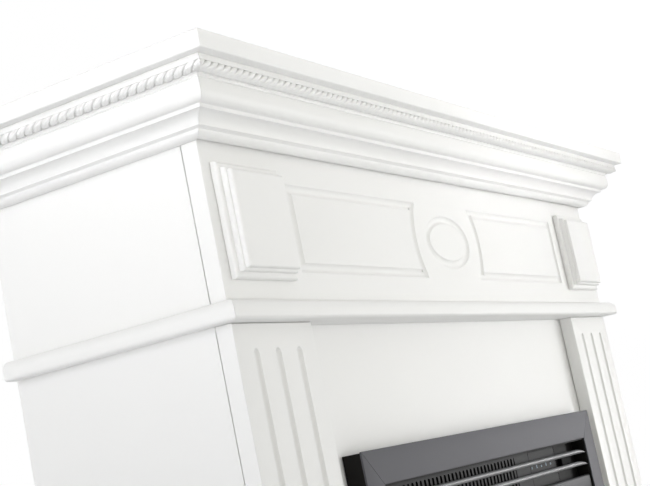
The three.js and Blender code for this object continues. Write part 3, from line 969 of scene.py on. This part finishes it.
@dataclass
class Rope:
    """The twisted rope strip let into the cornice, mitred at the two corners."""

    cornice: Cornice = field(default_factory=Cornice)
    pitch: float = 9.5 * MM
    lean: float = 12 * MM
    proud: float = 0.7 * MM
    half_depth: float = 6.4 * MM
    half_height: float = 4.2 * MM
    fullness: float = 2.5
    fuller_behind: float = 3.0
    groove_depth: float = 2.2 * MM
    crown_power: float = 2.4
    thread_depth: float = 0.5 * MM
    thread_power: float = 1.5
    threads: float = 3.0
    foot_gap: float = 0.1 * MM
    rows_per_pitch: int = 14
    sides: int = 36

    def reach(self) -> float:
        """How far the middle of its section stands out of the frame."""
        return self.cornice.band_reach + self.proud - self.half_depth

    def strip(self, tree: bpy.types.NodeTree) -> bpy.types.Mesh:
        """Makes one long straight strip along X.

        Args:
            tree: The rope's tree.

        Returns:
            Its mesh.
        """
        span = 2 * (HALF_WIDTH + 2 * self.cornice.band_reach)
        count = math.ceil(span / self.pitch)
        host = in_scene("rope_host", bpy.data.meshes.new("rope_host"))
        seat_back = self.cornice.band_reach - self.cornice.seat_depth
        return plain_mesh(host, tree, {
            "Length": count * self.pitch,
            "Rows": count * self.rows_per_pitch,
            "Sides": self.sides,
            "Pitch": self.pitch,
            "Half Depth": self.half_depth,
            "Half Height": self.half_height,
            "Fullness": self.fullness,
            "Fuller Behind": self.fuller_behind,
            "Groove Depth": self.groove_depth,
            "Crown Power": self.crown_power,
            "Thread Depth": self.thread_depth,
            "Thread Power": self.thread_power,
            "Threads": self.threads,
            "Lean": self.lean,
            "Flat Depth": self.reach() - seat_back - JOINT_GAP,
            "Flat Height": self.cornice.seat_height - self.half_height - self.foot_gap - JOINT_GAP / 2,
        })

    def laid(self, strip: bpy.types.Mesh, run: Run) -> bpy.types.Object:
        """Lays a copy of the strip along a run and cuts it to its mitres.

        Args:
            strip: The straight strip.
            run: The run.

        Returns:
            The object.
        """
        reach = self.reach()
        seat = SHELF_UNDERSIDE - self.cornice.band_height - self.cornice.seat_height
        height = seat + self.foot_gap + self.half_height
        corner = HALF_WIDTH - JOINT_GAP
        if run is Run.FRONT:
            place = Matrix.Translation((0, FACE_Y - reach, height))
            cuts = [((-corner, FACE_Y, 0), (-1, 1, 0)), ((corner, FACE_Y, 0), (1, 1, 0))]
        else:
            turn = Matrix.Rotation(run.side * QUARTER, 4, "Z")
            place = Matrix.Translation((run.side * (HALF_WIDTH + reach), 0, height)) @ turn
            cuts = [((run.side * HALF_WIDTH, FACE_Y, 0), (-run.side, -1, 0)), ((0, BACK_Y, 0), (0, 1, 0))]
        work = bmesh.new()
        work.from_mesh(strip)
        work.transform(place)
        for point, normal in cuts:
            everything = [*work.verts, *work.edges, *work.faces]
            bmesh.ops.bisect_plane(work, geom=everything, plane_co=point, plane_no=normal, clear_outer=True)
            open_edges = [edge for edge in work.edges if edge.is_boundary]
            bmesh.ops.holes_fill(work, edges=open_edges, sides=0)
        for face in work.faces:
            face.smooth = len(face.verts) <= QUAD_CORNERS
        mesh = bpy.data.meshes.new(f"rope_strip_{run.value}")
        work.to_mesh(mesh)
        work.free()
        turn_outwards(mesh)
        mesh.set_sharp_from_angle(angle=STRAND_SHARP_ANGLE)
        return in_scene(mesh.name, mesh)

    def dress(self, finishes: Finishes) -> None:
        """Builds and paints the three runs.

        Args:
            finishes: Hands out the materials.
        """
        strip = self.strip(rope_tree())
        for run in Run:
            piece = self.laid(strip, run)
            dressed(piece, finishes.of(BOARD_PAINT), [f"rope_{run.value}"])


@dataclass
class Rail:
    """The round nosed rail between the frieze and the pilasters."""

    reach: float = 16 * MM
    top_round: float = 9 * MM
    bottom_round: float = 3.5 * MM
    steps: int = 12

    def outline(self) -> Outline:
        """The outline of a run, reach and height.

        Returns:
            The outline.
        """
        low, high = (corner.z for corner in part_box("rail_front"))
        below = (self.reach - self.bottom_round, low + self.bottom_round)
        above = (self.reach - self.top_round, high - self.top_round)
        drawn = Outline()
        drawn.to(JOINT_GAP, low)
        drawn.along(arc(below, (self.bottom_round, self.bottom_round), -QUARTER, 0, self.steps))
        drawn.along(arc(above, (self.top_round, self.top_round), 0, QUARTER, self.steps))
        drawn.to(JOINT_GAP, high)
        return drawn

    def dress(self, finishes: Finishes) -> None:
        """Builds and paints the three runs.

        Args:
            finishes: Hands out the materials.
        """
        for run in Run:
            plan = MouldingPlan(run)
            piece = loft(f"rail_moulding_{run.value}", self.outline(), [plan.start, plan.end])
            dressed(piece, finishes.of(plan.paint()), [f"rail_{run.value}"])


@dataclass(frozen=True)
class Router:
    """A round nosed router cutter and the groove that it leaves."""

    width: float = 9 * MM
    depth: float = 3 * MM
    ease: float = 0.45 * MM
    lip_reach: float = 0.35
    lip_drop: float = 0.10
    edge_drop: float = 0.38
    steps: int = 12

    def section(self) -> list[Point2]:
        """The section of the groove; its eased edge is shaped by shares of the ease.

        Returns:
            Offsets across the groove and depths into the face, from one edge to the other.
        """
        half = self.width / 2
        radius = (self.width ** 2) / (8 * self.depth) + self.depth / 2
        lift = radius - self.depth
        wall = math.asin(half / radius)
        inside = wall - self.ease / radius
        cut = [(radius * math.sin(a), radius * math.cos(a) - lift)
               for a in (inside - 2 * inside * i / self.steps for i in range(self.steps + 1))]
        lip = (half + self.ease * self.lip_reach, self.ease * self.lip_drop)
        shoulder = [(half + self.ease, 0.0), lip, (half, self.ease * self.edge_drop)]
        return [*shoulder, *cut, *[(-offset, depth) for offset, depth in reversed(shoulder)]]


class ClosedGroove:
    """A groove along a closed path on a front face."""

    # A corner that stretches the groove by more than this share is a mitre and is shaded sharp
    LEAST_MITRE = 0.1

    def __init__(self, path: Sequence[Point2], router: Router) -> None:
        """Takes the path, x and z, and its cutter."""
        self.path = [Vector(point) for point in path]
        self.router = router

    def across(self, i: int) -> Vector:
        """The direction across the path at a corner.

        Args:
            i: The corner's number.

        Returns:
            The direction, stretched for the corner's mitre.
        """
        count = len(self.path)
        back = (self.path[i] - self.path[i - 1]).normalized()
        ahead = (self.path[(i + 1) % count] - self.path[i]).normalized()
        middle = (back + ahead).normalized()
        return Vector((-middle.y, middle.x)) / middle.dot(ahead)

    def carve(self, solid: Solid, face_y: float) -> list[int]:
        """Adds the groove and the island inside it.

        Args:
            solid: The board being built.
            face_y: Where its front face is.

        Returns:
            The ring of the groove's outer edge.
        """
        ways = [self.across(i) for i in range(len(self.path))]
        rings = []
        for offset, depth in self.router.section():
            spots = [point + way * offset for point, way in zip(self.path, ways)]
            rings.append(solid.ring((spot.x, face_y + depth, spot.y) for spot in spots))
        spans = [max(solid.points[i].x for i in ring) for ring in (rings[0], rings[-1])]
        if spans[0] < spans[1]:
            rings.reverse()
        for one, other in zip(rings, rings[1:]):
            solid.band(one, other, True)
        solid.fill([rings[-1]])
        for i in range(len(self.path)):
            if abs(ways[i].length - 1) > self.LEAST_MITRE:
                for one, other in zip(rings, rings[1:]):
                    solid.crease([one[i]], [other[i]])
        return rings[0]


class StoppedFlute:
    """An upright flute with round ends on a front face."""

    END_STEPS = 12
    # The least half width of a ring, inside which the flute closes on its middle line
    LEAST_HALF = 0.1 * MM

    def __init__(self, x: float, low: float, high: float, router: Router) -> None:
        """Takes its middle line, its two ends and its cutter."""
        self.x, self.low, self.high, self.router = x, low, high, router

    def ring_at(self, solid: Solid, half: float, depth: float, face_y: float) -> list[int]:
        """Adds the outline of the flute at one depth.

        Args:
            solid: The board being built.
            half: Half the flute's width there.
            depth: The depth into the face.
            face_y: Where the board's front face is.

        Returns:
            The ring.
        """
        reach = self.router.width / 2
        top = arc((self.x, self.high - reach), (half, half), 0, math.pi, self.END_STEPS)
        bottom = arc((self.x, self.low + reach), (half, half), math.pi, FULL_TURN, self.END_STEPS)
        return solid.ring((x, face_y + depth, z) for x, z in [*top, *bottom])

    def carve(self, solid: Solid, face_y: float) -> list[int]:
        """Adds the flute.

        Args:
            solid: The board being built.
            face_y: Where its front face is.

        Returns:
            The ring of the flute's edge.
        """
        section = [(half, depth) for half, depth in self.router.section() if half > self.LEAST_HALF]
        rings = [self.ring_at(solid, half, depth, face_y) for half, depth in section]
        for one, other in zip(rings, rings[1:]):
            solid.band(one, other, True)
        last = rings[-1]
        half_count = len(last) // 2
        deepest = [solid.ring([(self.x, face_y + self.router.depth, z)])[0]
                   for z in (self.high - self.router.width / 2, self.low + self.router.width / 2)]
        for end, centre in enumerate(deepest):
            for i in range(half_count - 1):
                a = last[end * half_count + i]
                b = last[end * half_count + i + 1]
                solid.face((a, b, centre), True)
        left = (last[half_count - 1], last[half_count], deepest[1], deepest[0])
        right = (last[-1], last[0], deepest[0], deepest[1])
        solid.face(left, True)
        solid.face(right, True)
        return rings[0]


def carved_board(
    name: str, low: Sequence[float], high: Sequence[float],
    cuts: Sequence[ClosedGroove | StoppedFlute], ease: float,
) -> bpy.types.Object:
    """A board that faces -Y, with its front edges eased and its face carved.

    Args:
        name: The piece's name.
        low: Its lowest corner.
        high: Its highest corner.
        cuts: What is carved into its face.
        ease: The radius of its front edges.

    Returns:
        The object.
    """
    solid = Solid()
    rings = []
    levels = [(ease * (1 - math.sin(a)), ease * (1 - math.cos(a))) for a in EASE_ANGLES]
    for inset, depth in [*levels, (0.0, high[1] - low[1])]:
        rings.append(solid.upright(low, high, low[1] + depth, inset))
    for i, (one, other) in enumerate(zip(rings, rings[1:])):
        solid.band(one, other, i < len(levels) - 1)
        solid.crease(one, other)
    solid.face(rings[-1])
    solid.fill([rings[0], *[cut.carve(solid, low[1]) for cut in cuts]])
    return solid.made(name)


@dataclass
class Frieze:
    """The front board with two routed panels and an oval, and its two corner blocks."""

    router: Router = Router()
    panel_height: float = 83.5 * MM
    panel_to_block: float = 20 * MM
    panel_end: float = 71 * MM
    panel_bow: float = 9 * MM
    oval_width: float = 112 * MM
    oval_height: float = 60 * MM
    bow_steps: int = 24
    oval_steps: int = 96
    ease: float = 1.2 * MM
    block_rises: tuple[float, ...] = (6.6 * MM, 5.0 * MM, 4.4 * MM)
    block_rounds: tuple[float, ...] = (2.6 * MM, 1.8 * MM, 2.1 * MM)
    block_treads: tuple[float, ...] = (5.6 * MM, 2.5 * MM, 2.1 * MM)
    block_undercut: float = 0.7 * MM
    block_gap: float = 0.9 * MM
    block_steps: int = 8

    def middle(self) -> float:
        """The height of the carving's middle line."""
        low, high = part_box("corner_block_left")
        return (low.z + high.z) / 2

    def panel(self, side: int) -> list[Point2]:
        """The path of a panel.

        Args:
            side: The sign of X on its side.

        Returns:
            The path, x and z.
        """
        inset = self.router.width / 2
        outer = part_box("corner_block_right")[0].x - self.panel_to_block - inset
        top = self.middle() + self.panel_height / 2 - inset
        bottom = self.middle() - self.panel_height / 2 + inset
        rise = (top - bottom) / 2
        radius = (rise ** 2 + self.panel_bow ** 2) / (2 * self.panel_bow)
        half = math.asin(rise / radius)
        centre = (self.panel_end + inset + self.panel_bow - radius, self.middle())
        path = [*arc(centre, (radius, radius), -half, half, self.bow_steps), (outer, top), (outer, bottom)]
        return [(side * x, z) for x, z in path]

    def oval(self) -> list[Point2]:
        """The path of the oval."""
        radii = ((self.oval_width - self.router.width) / 2, (self.oval_height - self.router.width) / 2)
        return arc((0, self.middle()), radii, 0, FULL_TURN, self.oval_steps)[:-1]

    def block(self, node: str) -> bpy.types.Object:
        """A corner block with its three rounded steps.

        Args:
            node: The CAD node that gives its place.

        Returns:
            The object.
        """
        low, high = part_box(node)
        solid = Solid()
        edge = Outline().to(self.block_undercut, JOINT_GAP).to(self.block_undercut, self.block_gap)
        edge.to(0.0, self.block_gap)
        inset = height = 0.0
        for rise, rounding, tread in zip(self.block_rises, self.block_rounds, self.block_treads):
            height += rise
            centre = (inset + rounding, height - rounding)
            edge.along(arc(centre, (rounding, rounding), math.pi, QUARTER, self.block_steps))
            inset += tread
            edge.to(inset, height)
        rings = [solid.upright(low, high, FACE_Y - rise, step_in) for step_in, rise in edge.points]
        for one, other, is_round in zip(rings, rings[1:], edge.round):
            solid.band(one, other, is_round)
            solid.crease(one, other)
        solid.face(rings[0])
        solid.face(rings[-1])
        return solid.made(f"{node}_moulded")

    def dress(self, finishes: Finishes) -> None:
        """Builds and paints the board and the blocks.

        Args:
            finishes: Hands out the materials.
        """
        paths = [self.panel(-1), self.panel(1), self.oval()]
        cuts = [ClosedGroove(path, self.router) for path in paths]
        board = carved_board("frieze_carved", FRIEZE_LOW, FRIEZE_HIGH, cuts, self.ease)
        paint = finishes.of(BOARD_PAINT)
        dressed(board, paint, ["frieze_board"])
        for node in ("corner_block_left", "corner_block_right"):
            dressed(self.block(node), paint, [node])


@dataclass
class Uprights:
    """The fluted pilasters, side boards, plinths and skirting, and the set back panel between them."""

    router: Router = Router()
    flute_count: int = 3
    flute_pitch: float = 35.3 * MM
    flute_stop: float = 22 * MM
    ease: float = 1.2 * MM
    side_ease: float = 0.6 * MM
    plinth_reach: float = 8 * MM
    plinth_round: float = 6 * MM
    round_steps: int = 10
    surround_gap: float = 1 * MM
    opening_clearance: float = 9.5 * MM

    def pilaster(self, node: str) -> bpy.types.Object:
        """A front board with its flutes.

        Args:
            node: The CAD node that gives its place.

        Returns:
            The object.
        """
        low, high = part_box(node)
        middle = (low.x + high.x) / 2
        first = middle - self.flute_pitch * (self.flute_count - 1) / 2
        bottom, top = low.z + self.flute_stop, high.z - self.flute_stop
        flutes = [StoppedFlute(first + i * self.flute_pitch, bottom, top, self.router)
                  for i in range(self.flute_count)]
        return carved_board(f"{node}_fluted", low, high, flutes, self.ease)

    def foot_outline(self, back: float, top: float) -> Outline:
        """The upright outline of a plinth or skirting, reach and height.

        Args:
            back: The reach of its back.
            top: Its height.

        Returns:
            The outline.
        """
        drawn = Outline().to(back, 0.0).to(self.plinth_reach, 0.0)
        centre = (self.plinth_reach - self.plinth_round, top - self.plinth_round)
        drawn.along(arc(centre, (self.plinth_round, self.plinth_round), 0, QUARTER, self.round_steps))
        return drawn.to(back, top)

    def plinth(self, node: str) -> bpy.types.Object:
        """A plinth block.

        Args:
            node: The CAD node that gives its place.

        Returns:
            The object.
        """
        low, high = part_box(node)
        outline = self.foot_outline(FACE_Y - high.y, high.z)
        ends = [lambda point, x=x: (x, FACE_Y - point[0], point[1]) for x in (low.x, high.x)]
        return loft(f"{node}_block", outline, ends)

    def skirting(self, node: str) -> bpy.types.Object:
        """A skirting strip along a side.

        Args:
            node: The CAD node that gives its place.

        Returns:
            The object.
        """
        low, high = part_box(node)
        side = -1 if low.x < 0 else 1
        outline = self.foot_outline(JOINT_GAP, high.z)
        ends = [lambda point, y=y: (side * (HALF_WIDTH + point[0]), y, point[1]) for y in (low.y, high.y)]
        return loft(f"{node}_strip", outline, ends)

    def surround(self) -> bpy.types.Object:
        """The set back panel, open round the fire's case, with a shadow gap to the boards before it.

        Returns:
            The object.
        """
        low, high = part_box("surround_panel")
        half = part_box("fire_window")[1].x + JOINT_GAP + self.opening_clearance
        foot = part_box("fire_shelf")[1].z
        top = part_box("fire_blank_plate")[1].z + JOINT_GAP + self.opening_clearance
        solid = Solid()
        rings = []
        for y in (FRIEZE_HIGH.y + self.surround_gap, high.y):
            outer = solid.upright(low, high, y)
            inner = solid.upright((-half, y, foot), (half, y, top), y)
            solid.fill([outer, inner])
            rings.append((outer, inner))
        for one, other in zip(*rings):
            solid.band(one, other, False)
        return solid.made("surround_board")

    def dress(self, finishes: Finishes) -> None:
        """Builds and paints both sides and the panel between them.

        Args:
            finishes: Hands out the materials.
        """
        paint = finishes.of(BOARD_PAINT)
        for hand in ("left", "right"):
            node = f"side_panel_{hand}"
            board = eased_block(f"{node}_board", *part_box(node), self.side_ease)
            dressed(board, paint, [node])
            dressed(self.pilaster(f"pilaster_{hand}"), paint, [f"pilaster_{hand}"])
            dressed(self.plinth(f"plinth_{hand}"), paint, [f"plinth_{hand}"])
            dressed(self.skirting(f"skirting_{hand}"), paint, [f"skirting_{hand}"])
        dressed(self.surround(), paint, ["surround_panel"])
        repainted("fire_shelf", paint)


def row_tree() -> bpy.types.NodeTree:
    """Builds the tree that repeats one piece along X.

    Returns:
        A Geometry Nodes tree with the piece on its geometry input.
    """
    tree = new_group("row of teeth", "GeometryNodeTree", [
        ("Geometry", "INPUT", "Geometry"),
        ("Count", "INPUT", "Int"),
        ("Pitch", "INPUT", "Float"),
        ("Geometry", "OUTPUT", "Geometry"),
    ])
    sheet = Sheet(tree)
    given = sheet.put("NodeGroupInput").outputs
    step = sheet.put("ShaderNodeCombineXYZ", {"X": given["Pitch"]})
    line = sheet.put("GeometryNodeMeshLine", {
        "Count": given["Count"],
        "Offset": step.outputs[0],
    }, mode="OFFSET")
    copies = sheet.put("GeometryNodeInstanceOnPoints", {
        "Points": line.outputs[0],
        "Instance": given["Geometry"],
    })
    sheet.end_form(copies.outputs[0])
    return tree


@dataclass
class Fire:
    """The electric fire: bezel, blades, outlet plate, controls, rail and window in a black case."""

    bezel_ease: float = 0.8 * MM
    bezel_border: float = 33.5 * MM
    ring_steps: int = 32
    slot_pitch: float = 9.4 * MM
    slot_width: float = 5 * MM
    slot_foot: float = 6 * MM
    slot_top: float = 2.7 * MM
    slot_end: float = 42 * MM
    plate_ease: float = 0.1 * MM
    switch_ease: float = 1.2 * MM
    arc_steps: int = 8
    blade_taper: float = 27 * MM
    blade_tip: float = 0.12
    taper_steps: int = 8
    rail_round: float = 2.5 * MM
    mark_count: int = 5
    mark_pitch: float = 15 * MM
    mark_width: float = 3 * MM
    mark_heights: tuple[float, ...] = (2.5 * MM, 5 * MM)
    mark_thickness: float = 0.15 * MM
    mark_ease: float = 0.05 * MM
    mark_margin: float = 3.5 * MM
    mark_rise: float = 30 * MM
    screw_radius: float = 2 * MM
    screw_proud: float = 1.2 * MM
    screw_drop: float = 54.2 * MM
    screw_setback: float = 6.8 * MM

    def bezel(self, edge: str) -> bpy.types.Object:
        """A mitred strip of the bezel.

        Args:
            edge: Its edge of the case: top, bottom, left or right.

        Returns:
            The object.
        """
        across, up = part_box("fire_bezel_top"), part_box("fire_bezel_left")
        half_x = across[1].x + JOINT_GAP
        low_z, high_z = up[0].z - JOINT_GAP, up[1].z + JOINT_GAP
        half_z, middle_z = (high_z - low_z) / 2, (high_z + low_z) / 2
        front, back = across[0].y, across[1].y
        outline = Outline().to(0.0, front).to(self.bezel_border, front).to(self.bezel_border, back)
        outline = outline.to(0.0, back).eased(self.bezel_ease)

        def corner(point: Point2, way: int) -> Sequence[float]:
            """Where an outline point lies at one end of the strip.

            Args:
                point: Its inset from the bezel's outer edge, and its y.
                way: The sign of the end.

            Returns:
                The place.
            """
            inset, y = point
            run_x, run_z = half_x - inset, half_z - inset
            if edge in ("top", "bottom"):
                return (way * (run_x - JOINT_GAP), y, middle_z + (run_z if edge == "top" else -run_z))
            return ((run_x if edge == "right" else -run_x), y, middle_z + way * (run_z - JOINT_GAP))

        ends = [lambda point, way=way: corner(point, way) for way in (-1, 1)]
        return loft(f"bezel_strip_{edge}", outline, ends)

    def louvre(self, node: str) -> bpy.types.Object:
        """A lens shaped blade that tapers to a point, low at its front, at both ends.

        Args:
            node: The CAD node that gives its place.

        Returns:
            The object.
        """
        low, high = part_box(node)
        radii = ((high.y - low.y) / 2, (high.z - low.z) / 2)
        lens = Outline(closes_round=True).along(arc(radii, radii, 0, FULL_TURN, self.ring_steps)[:-1])
        shares = [i / self.taper_steps for i in range(self.taper_steps + 1)]
        sizes = [max(self.blade_tip, math.sqrt(1 - (1 - share) ** 2)) for share in shares]
        sections = [(low.x + share * self.blade_taper, size) for share, size in zip(shares, sizes)]
        sections += [(high.x - (x - low.x), size) for x, size in reversed(sections)]
        places = [lambda point, x=x, size=size: (x, low.y + point[0] * size, low.z + point[1] * size)
                  for x, size in sections]
        return loft(f"{node}_blade", lens, places)

    def window_rail(self) -> bpy.types.Object:
        """The rail over the window, with a rounded top front edge.

        Returns:
            The object.
        """
        low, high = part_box("fire_window_rail")
        centre = (low.y + self.rail_round, high.z - self.rail_round)
        outline = Outline().to(high.y, low.z).to(low.y, low.z)
        outline.along(arc(centre, (self.rail_round, self.rail_round), math.pi, QUARTER, self.arc_steps))
        ends = [lambda point, x=x: (x, point[0], point[1]) for x in (low.x, high.x)]
        return loft("window_head_rail", outline.to(high.y, high.z).eased(self.bezel_ease), ends)

    def marks(self) -> bpy.types.Object:
        """Plain level marks on the control plate: short strokes of two heights in turn.

        Returns:
            The object.
        """
        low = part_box("fire_control_plate")[0]
        strokes = []
        for i in range(self.mark_count):
            x0 = low.x + self.mark_margin + i * self.mark_pitch
            z0 = low.z + self.mark_rise
            height = self.mark_heights[i % 2]
            near = (x0, low.y - self.mark_thickness, z0)
            far = (x0 + self.mark_width, low.y, z0 + height)
            strokes.append(eased_block(f"mark_{i}", near, far, self.mark_ease))
        return joined("level_marks", strokes)

    def screw(self) -> bpy.types.Object:
        """The pan head of the screw on the right wall of the case.

        Returns:
            The object.
        """
        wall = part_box("fire_blank_plate")[1]
        centre = (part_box("fire_bezel_top")[0].y + self.screw_setback, wall.z + JOINT_GAP - self.screw_drop)
        ring = arc((0.0, 0.0), (1.0, 1.0), 0, FULL_TURN, self.ring_steps)[:-1]
        disc = Outline(closes_round=True).along(ring)
        face_x = wall.x + JOINT_GAP
        bends = [i / self.arc_steps * QUARTER for i in range(self.arc_steps)]
        places = [lambda point, a=a: (
            face_x - self.screw_proud * math.sin(a),
            centre[0] + point[0] * self.screw_radius * math.cos(a),
            centre[1] + point[1] * self.screw_radius * math.cos(a)) for a in bends]
        return loft("case_screw", disc, places)

    def tooth(self, low: Vector, high: Vector) -> bpy.types.Object:
        """One bar of the outlet plate with the half slots on both its sides.

        Args:
            low: The plate's lowest corner.
            high: The plate's highest corner.

        Returns:
            The object.
        """
        radius = self.slot_width / 2
        half = self.slot_pitch / 2
        foot, top = low.z + self.slot_foot + radius, high.z - self.slot_top - radius
        left = [*arc((-half, foot), (radius, radius), -QUARTER, 0, self.arc_steps),
                *arc((-half, top), (radius, radius), 0, QUARTER, self.arc_steps)]
        right = [(-x, z) for x, z in reversed(left)]
        shape = [(-half, low.z), *left, (-half, high.z), (half, high.z), *right, (half, low.z)]
        outline = Outline().along(shape, False)
        ends = [lambda point, y=y: (point[0], y, point[1]) for y in (low.y, high.y)]
        return loft("outlet_tooth", outline, ends)

    def outlet(self) -> bpy.types.Object:
        """The outlet plate with its row of slots.

        Returns:
            The object.
        """
        low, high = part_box("fire_vent_plate")
        count = int((high.x - self.slot_end - low.x) / self.slot_pitch)
        first = high.x - self.slot_end - (count - 0.5) * self.slot_pitch
        row = plain_mesh(self.tooth(low, high), row_tree(), {
            "Count": count,
            "Pitch": self.slot_pitch,
        })
        row.transform(Matrix.Translation((first, 0, 0)))
        teeth = in_scene("outlet_teeth", row)
        left_end = first - self.slot_pitch / 2
        right_start = high.x - self.slot_end
        spans = [(low.x, left_end), (right_start, high.x)]
        ends = [eased_block(f"outlet_end_{i}", (x0, low.y, low.z), (x1, high.y, high.z), self.plate_ease)
                for i, (x0, x1) in enumerate(spans)]
        return joined("outlet_plate", [teeth, *ends])

    def dress(self, finishes: Finishes) -> None:
        """Builds and paints the fire.

        Args:
            finishes: Hands out the materials.
        """
        repainted("fire_casing", finishes.of(CASE_PAINT))
        repainted("fire_blank_plate", finishes.of(CASE_PAINT))
        repainted("fire_window", finishes.of(GLASS_TINT))
        panel = eased_block("control_panel", *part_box("fire_control_plate"), self.bezel_ease)
        dressed(panel, finishes.of(PLATE_PAINT), ["fire_control_plate"])
        dressed(self.marks(), finishes.of(MARK_INK))
        dressed(self.screw(), finishes.of(LOUVRE_METAL))
        dressed(self.window_rail(), finishes.of(RAIL_METAL), ["fire_window_rail"])
        for edge in ("top", "bottom", "left", "right"):
            dressed(self.bezel(edge), finishes.of(BEZEL_PAINT), [f"fire_bezel_{edge}"])
        for node in ("fire_louvre_1", "fire_louvre_2"):
            dressed(self.louvre(node), finishes.of(LOUVRE_METAL), [node])
        dressed(self.outlet(), finishes.of(PLATE_PAINT), ["fire_vent_plate"])
        switch = eased_block("switch_rocker", *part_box("fire_switch"), self.switch_ease)
        dressed(switch, finishes.of(SWITCH_PLASTIC), ["fire_switch"])


@dataclass(frozen=True)
class Lamp:
    """A soft square lamp."""

    name: str
    place: tuple[float, float, float]
    target: tuple[float, float, float]
    size: float
    power: float
    spread: float = 180.0
    color: tuple[float, float, float] = (1.0, 1.0, 1.0)

    def hang(self) -> None:
        """Hangs it in the scene."""
        made = bpy.data.objects.new(self.name, bpy.data.lights.new(self.name, "AREA"))
        made.data.size = self.size
        made.data.energy = self.power
        made.data.spread = math.radians(self.spread)
        made.data.color = self.color
        made.location = self.place
        away = Vector(self.place) - Vector(self.target)
        made.rotation_euler = away.to_track_quat("Z", "Y").to_euler()
        bpy.context.scene.collection.objects.link(made)


LAMPS = (
    Lamp("left window", (-3.4, 0.4, 1.4), (0.0, 0.1, 0.8), 1.8, 22.1, color=(0.82, 0.84, 1.0)),
    Lamp("left back fill", (-2.6, 1.6, 1.6), (-0.5, 0.1, 1.0), 1.2, 2.2, 90.0),
    Lamp("low right", (1.6, -1.8, 0.5), (0.0, 0.0, 0.9), 1.2, 7.8),
    Lamp("left beam", (-3.2, -0.2, 0.8), (-0.5, 0.0, 1.2), 0.8, 0.69, 22.0),
    Lamp("front beam", (0.0, -3.0, 0.8), (0.0, -0.1, 1.15), 0.8, 0.57, 24.0),
    Lamp("front left beam", (-1.6, -1.5, 0.4), (-0.3, -0.1, 1.12), 0.6, 0.32, 34.0),
    Lamp("low right beam", (1.6, -2.2, 0.35), (0.2, -0.1, 1.15), 0.4, 0.34, 12.0),
    Lamp("low left beam", (-1.9, -1.9, 0.35), (-0.35, -0.1, 1.2), 0.4, 0.07, 14.0),
    Lamp("right beam", (1.9, -1.3, 0.6), (0.4, -0.1, 0.55), 0.5, 0.20, 20.0),
)


@dataclass
class Studio:
    """The camera at the photograph's angle, the pale floor and the soft lights."""

    camera_place: tuple[float, float, float] = (-1.45076, -0.72287, 0.63694)
    heading: float = 61.478
    pitch: float = 9.043
    roll: float = -11.617
    lens: float = 78.787
    near: float = 0.05
    far: float = 50.0
    floor_half: float = 6.0
    floor_color: tuple[float, float, float, float] = (0.68, 0.68, 0.68, 1.0)
    floor_roughness: float = 0.7
    from_right: tuple[float, float, float] = (0.645, 0.655, 0.745)
    from_above: tuple[float, float, float] = (0.42, 0.44, 0.53)
    all_round: tuple[float, float, float] = (0.366, 0.355, 0.267)

    def camera(self) -> None:
        """Makes the camera and sets it as the scene's."""
        made = bpy.data.objects.new("camera", bpy.data.cameras.new("camera"))
        made.data.lens = self.lens
        made.data.clip_start, made.data.clip_end = self.near, self.far
        heading = Matrix.Rotation(-math.radians(self.heading), 4, "Z")
        pitch = Matrix.Rotation(QUARTER + math.radians(self.pitch), 4, "X")
        roll = Matrix.Rotation(math.radians(self.roll), 4, "Z")
        made.matrix_world = Matrix.Translation(self.camera_place) @ heading @ pitch @ roll
        bpy.context.scene.collection.objects.link(made)
        bpy.context.scene.camera = made

    def floor(self) -> None:
        """Lays the floor."""
        half = self.floor_half
        solid = Solid()
        solid.face(solid.ring([(-half, -half, 0), (half, -half, 0), (half, half, 0), (-half, half, 0)]))
        piece = solid.made("floor")
        material = bpy.data.materials.new("pale floor")
        material.use_nodes = True
        Sheet(material.node_tree).feed_all(material.node_tree.nodes["Principled BSDF"], {
            "Base Color": self.floor_color,
            "Roughness": self.floor_roughness,
        })
        piece.data.materials.append(material)

    def world(self) -> None:
        """Sets the soft surroundings, brightest from the right and above, on a white background."""
        world = bpy.data.worlds.new("studio")
        world.use_nodes = True
        sheet = Sheet(world.node_tree)
        background = world.node_tree.nodes["Background"]
        way = sheet.put("ShaderNodeSeparateXYZ", {
            "Vector": sheet.put("ShaderNodeTexCoord").outputs["Generated"]})
        soft = self.all_round
        for axis, glow in (("X", self.from_right), ("Z", self.from_above)):
            share = sheet.sum("MAXIMUM", way.outputs[axis], 0.0)
            soft = sheet.maths("ShaderNodeVectorMath", "MULTIPLY_ADD", glow, share, soft)
        seen = sheet.put("ShaderNodeLightPath").outputs["Is Camera Ray"]
        sheet.feed(background.inputs["Color"], sheet.maths("ShaderNodeVectorMath", "MAXIMUM", soft, seen))
        bpy.context.scene.world = world
        bpy.context.scene.view_settings.view_transform = "Standard"

    def build(self) -> None:
        """Sets up the studio."""
        self.camera()
        self.floor()
        self.world()
        for lamp in LAMPS:
            lamp.hang()


def main() -> None:
    """Builds the studio and every sub-assembly in order."""
    logging.basicConfig(level=logging.INFO, format="%(name)s: %(message)s")
    Studio().build()
    finishes = Finishes()
    for assembly in (Shelf(), Cornice(), Rope(), Rail(), Frieze(), Uprights(), Fire()):
        LOG.info("building %s", type(assembly).__name__)
        assembly.dress(finishes)


if __name__ == "__main__":
    main()
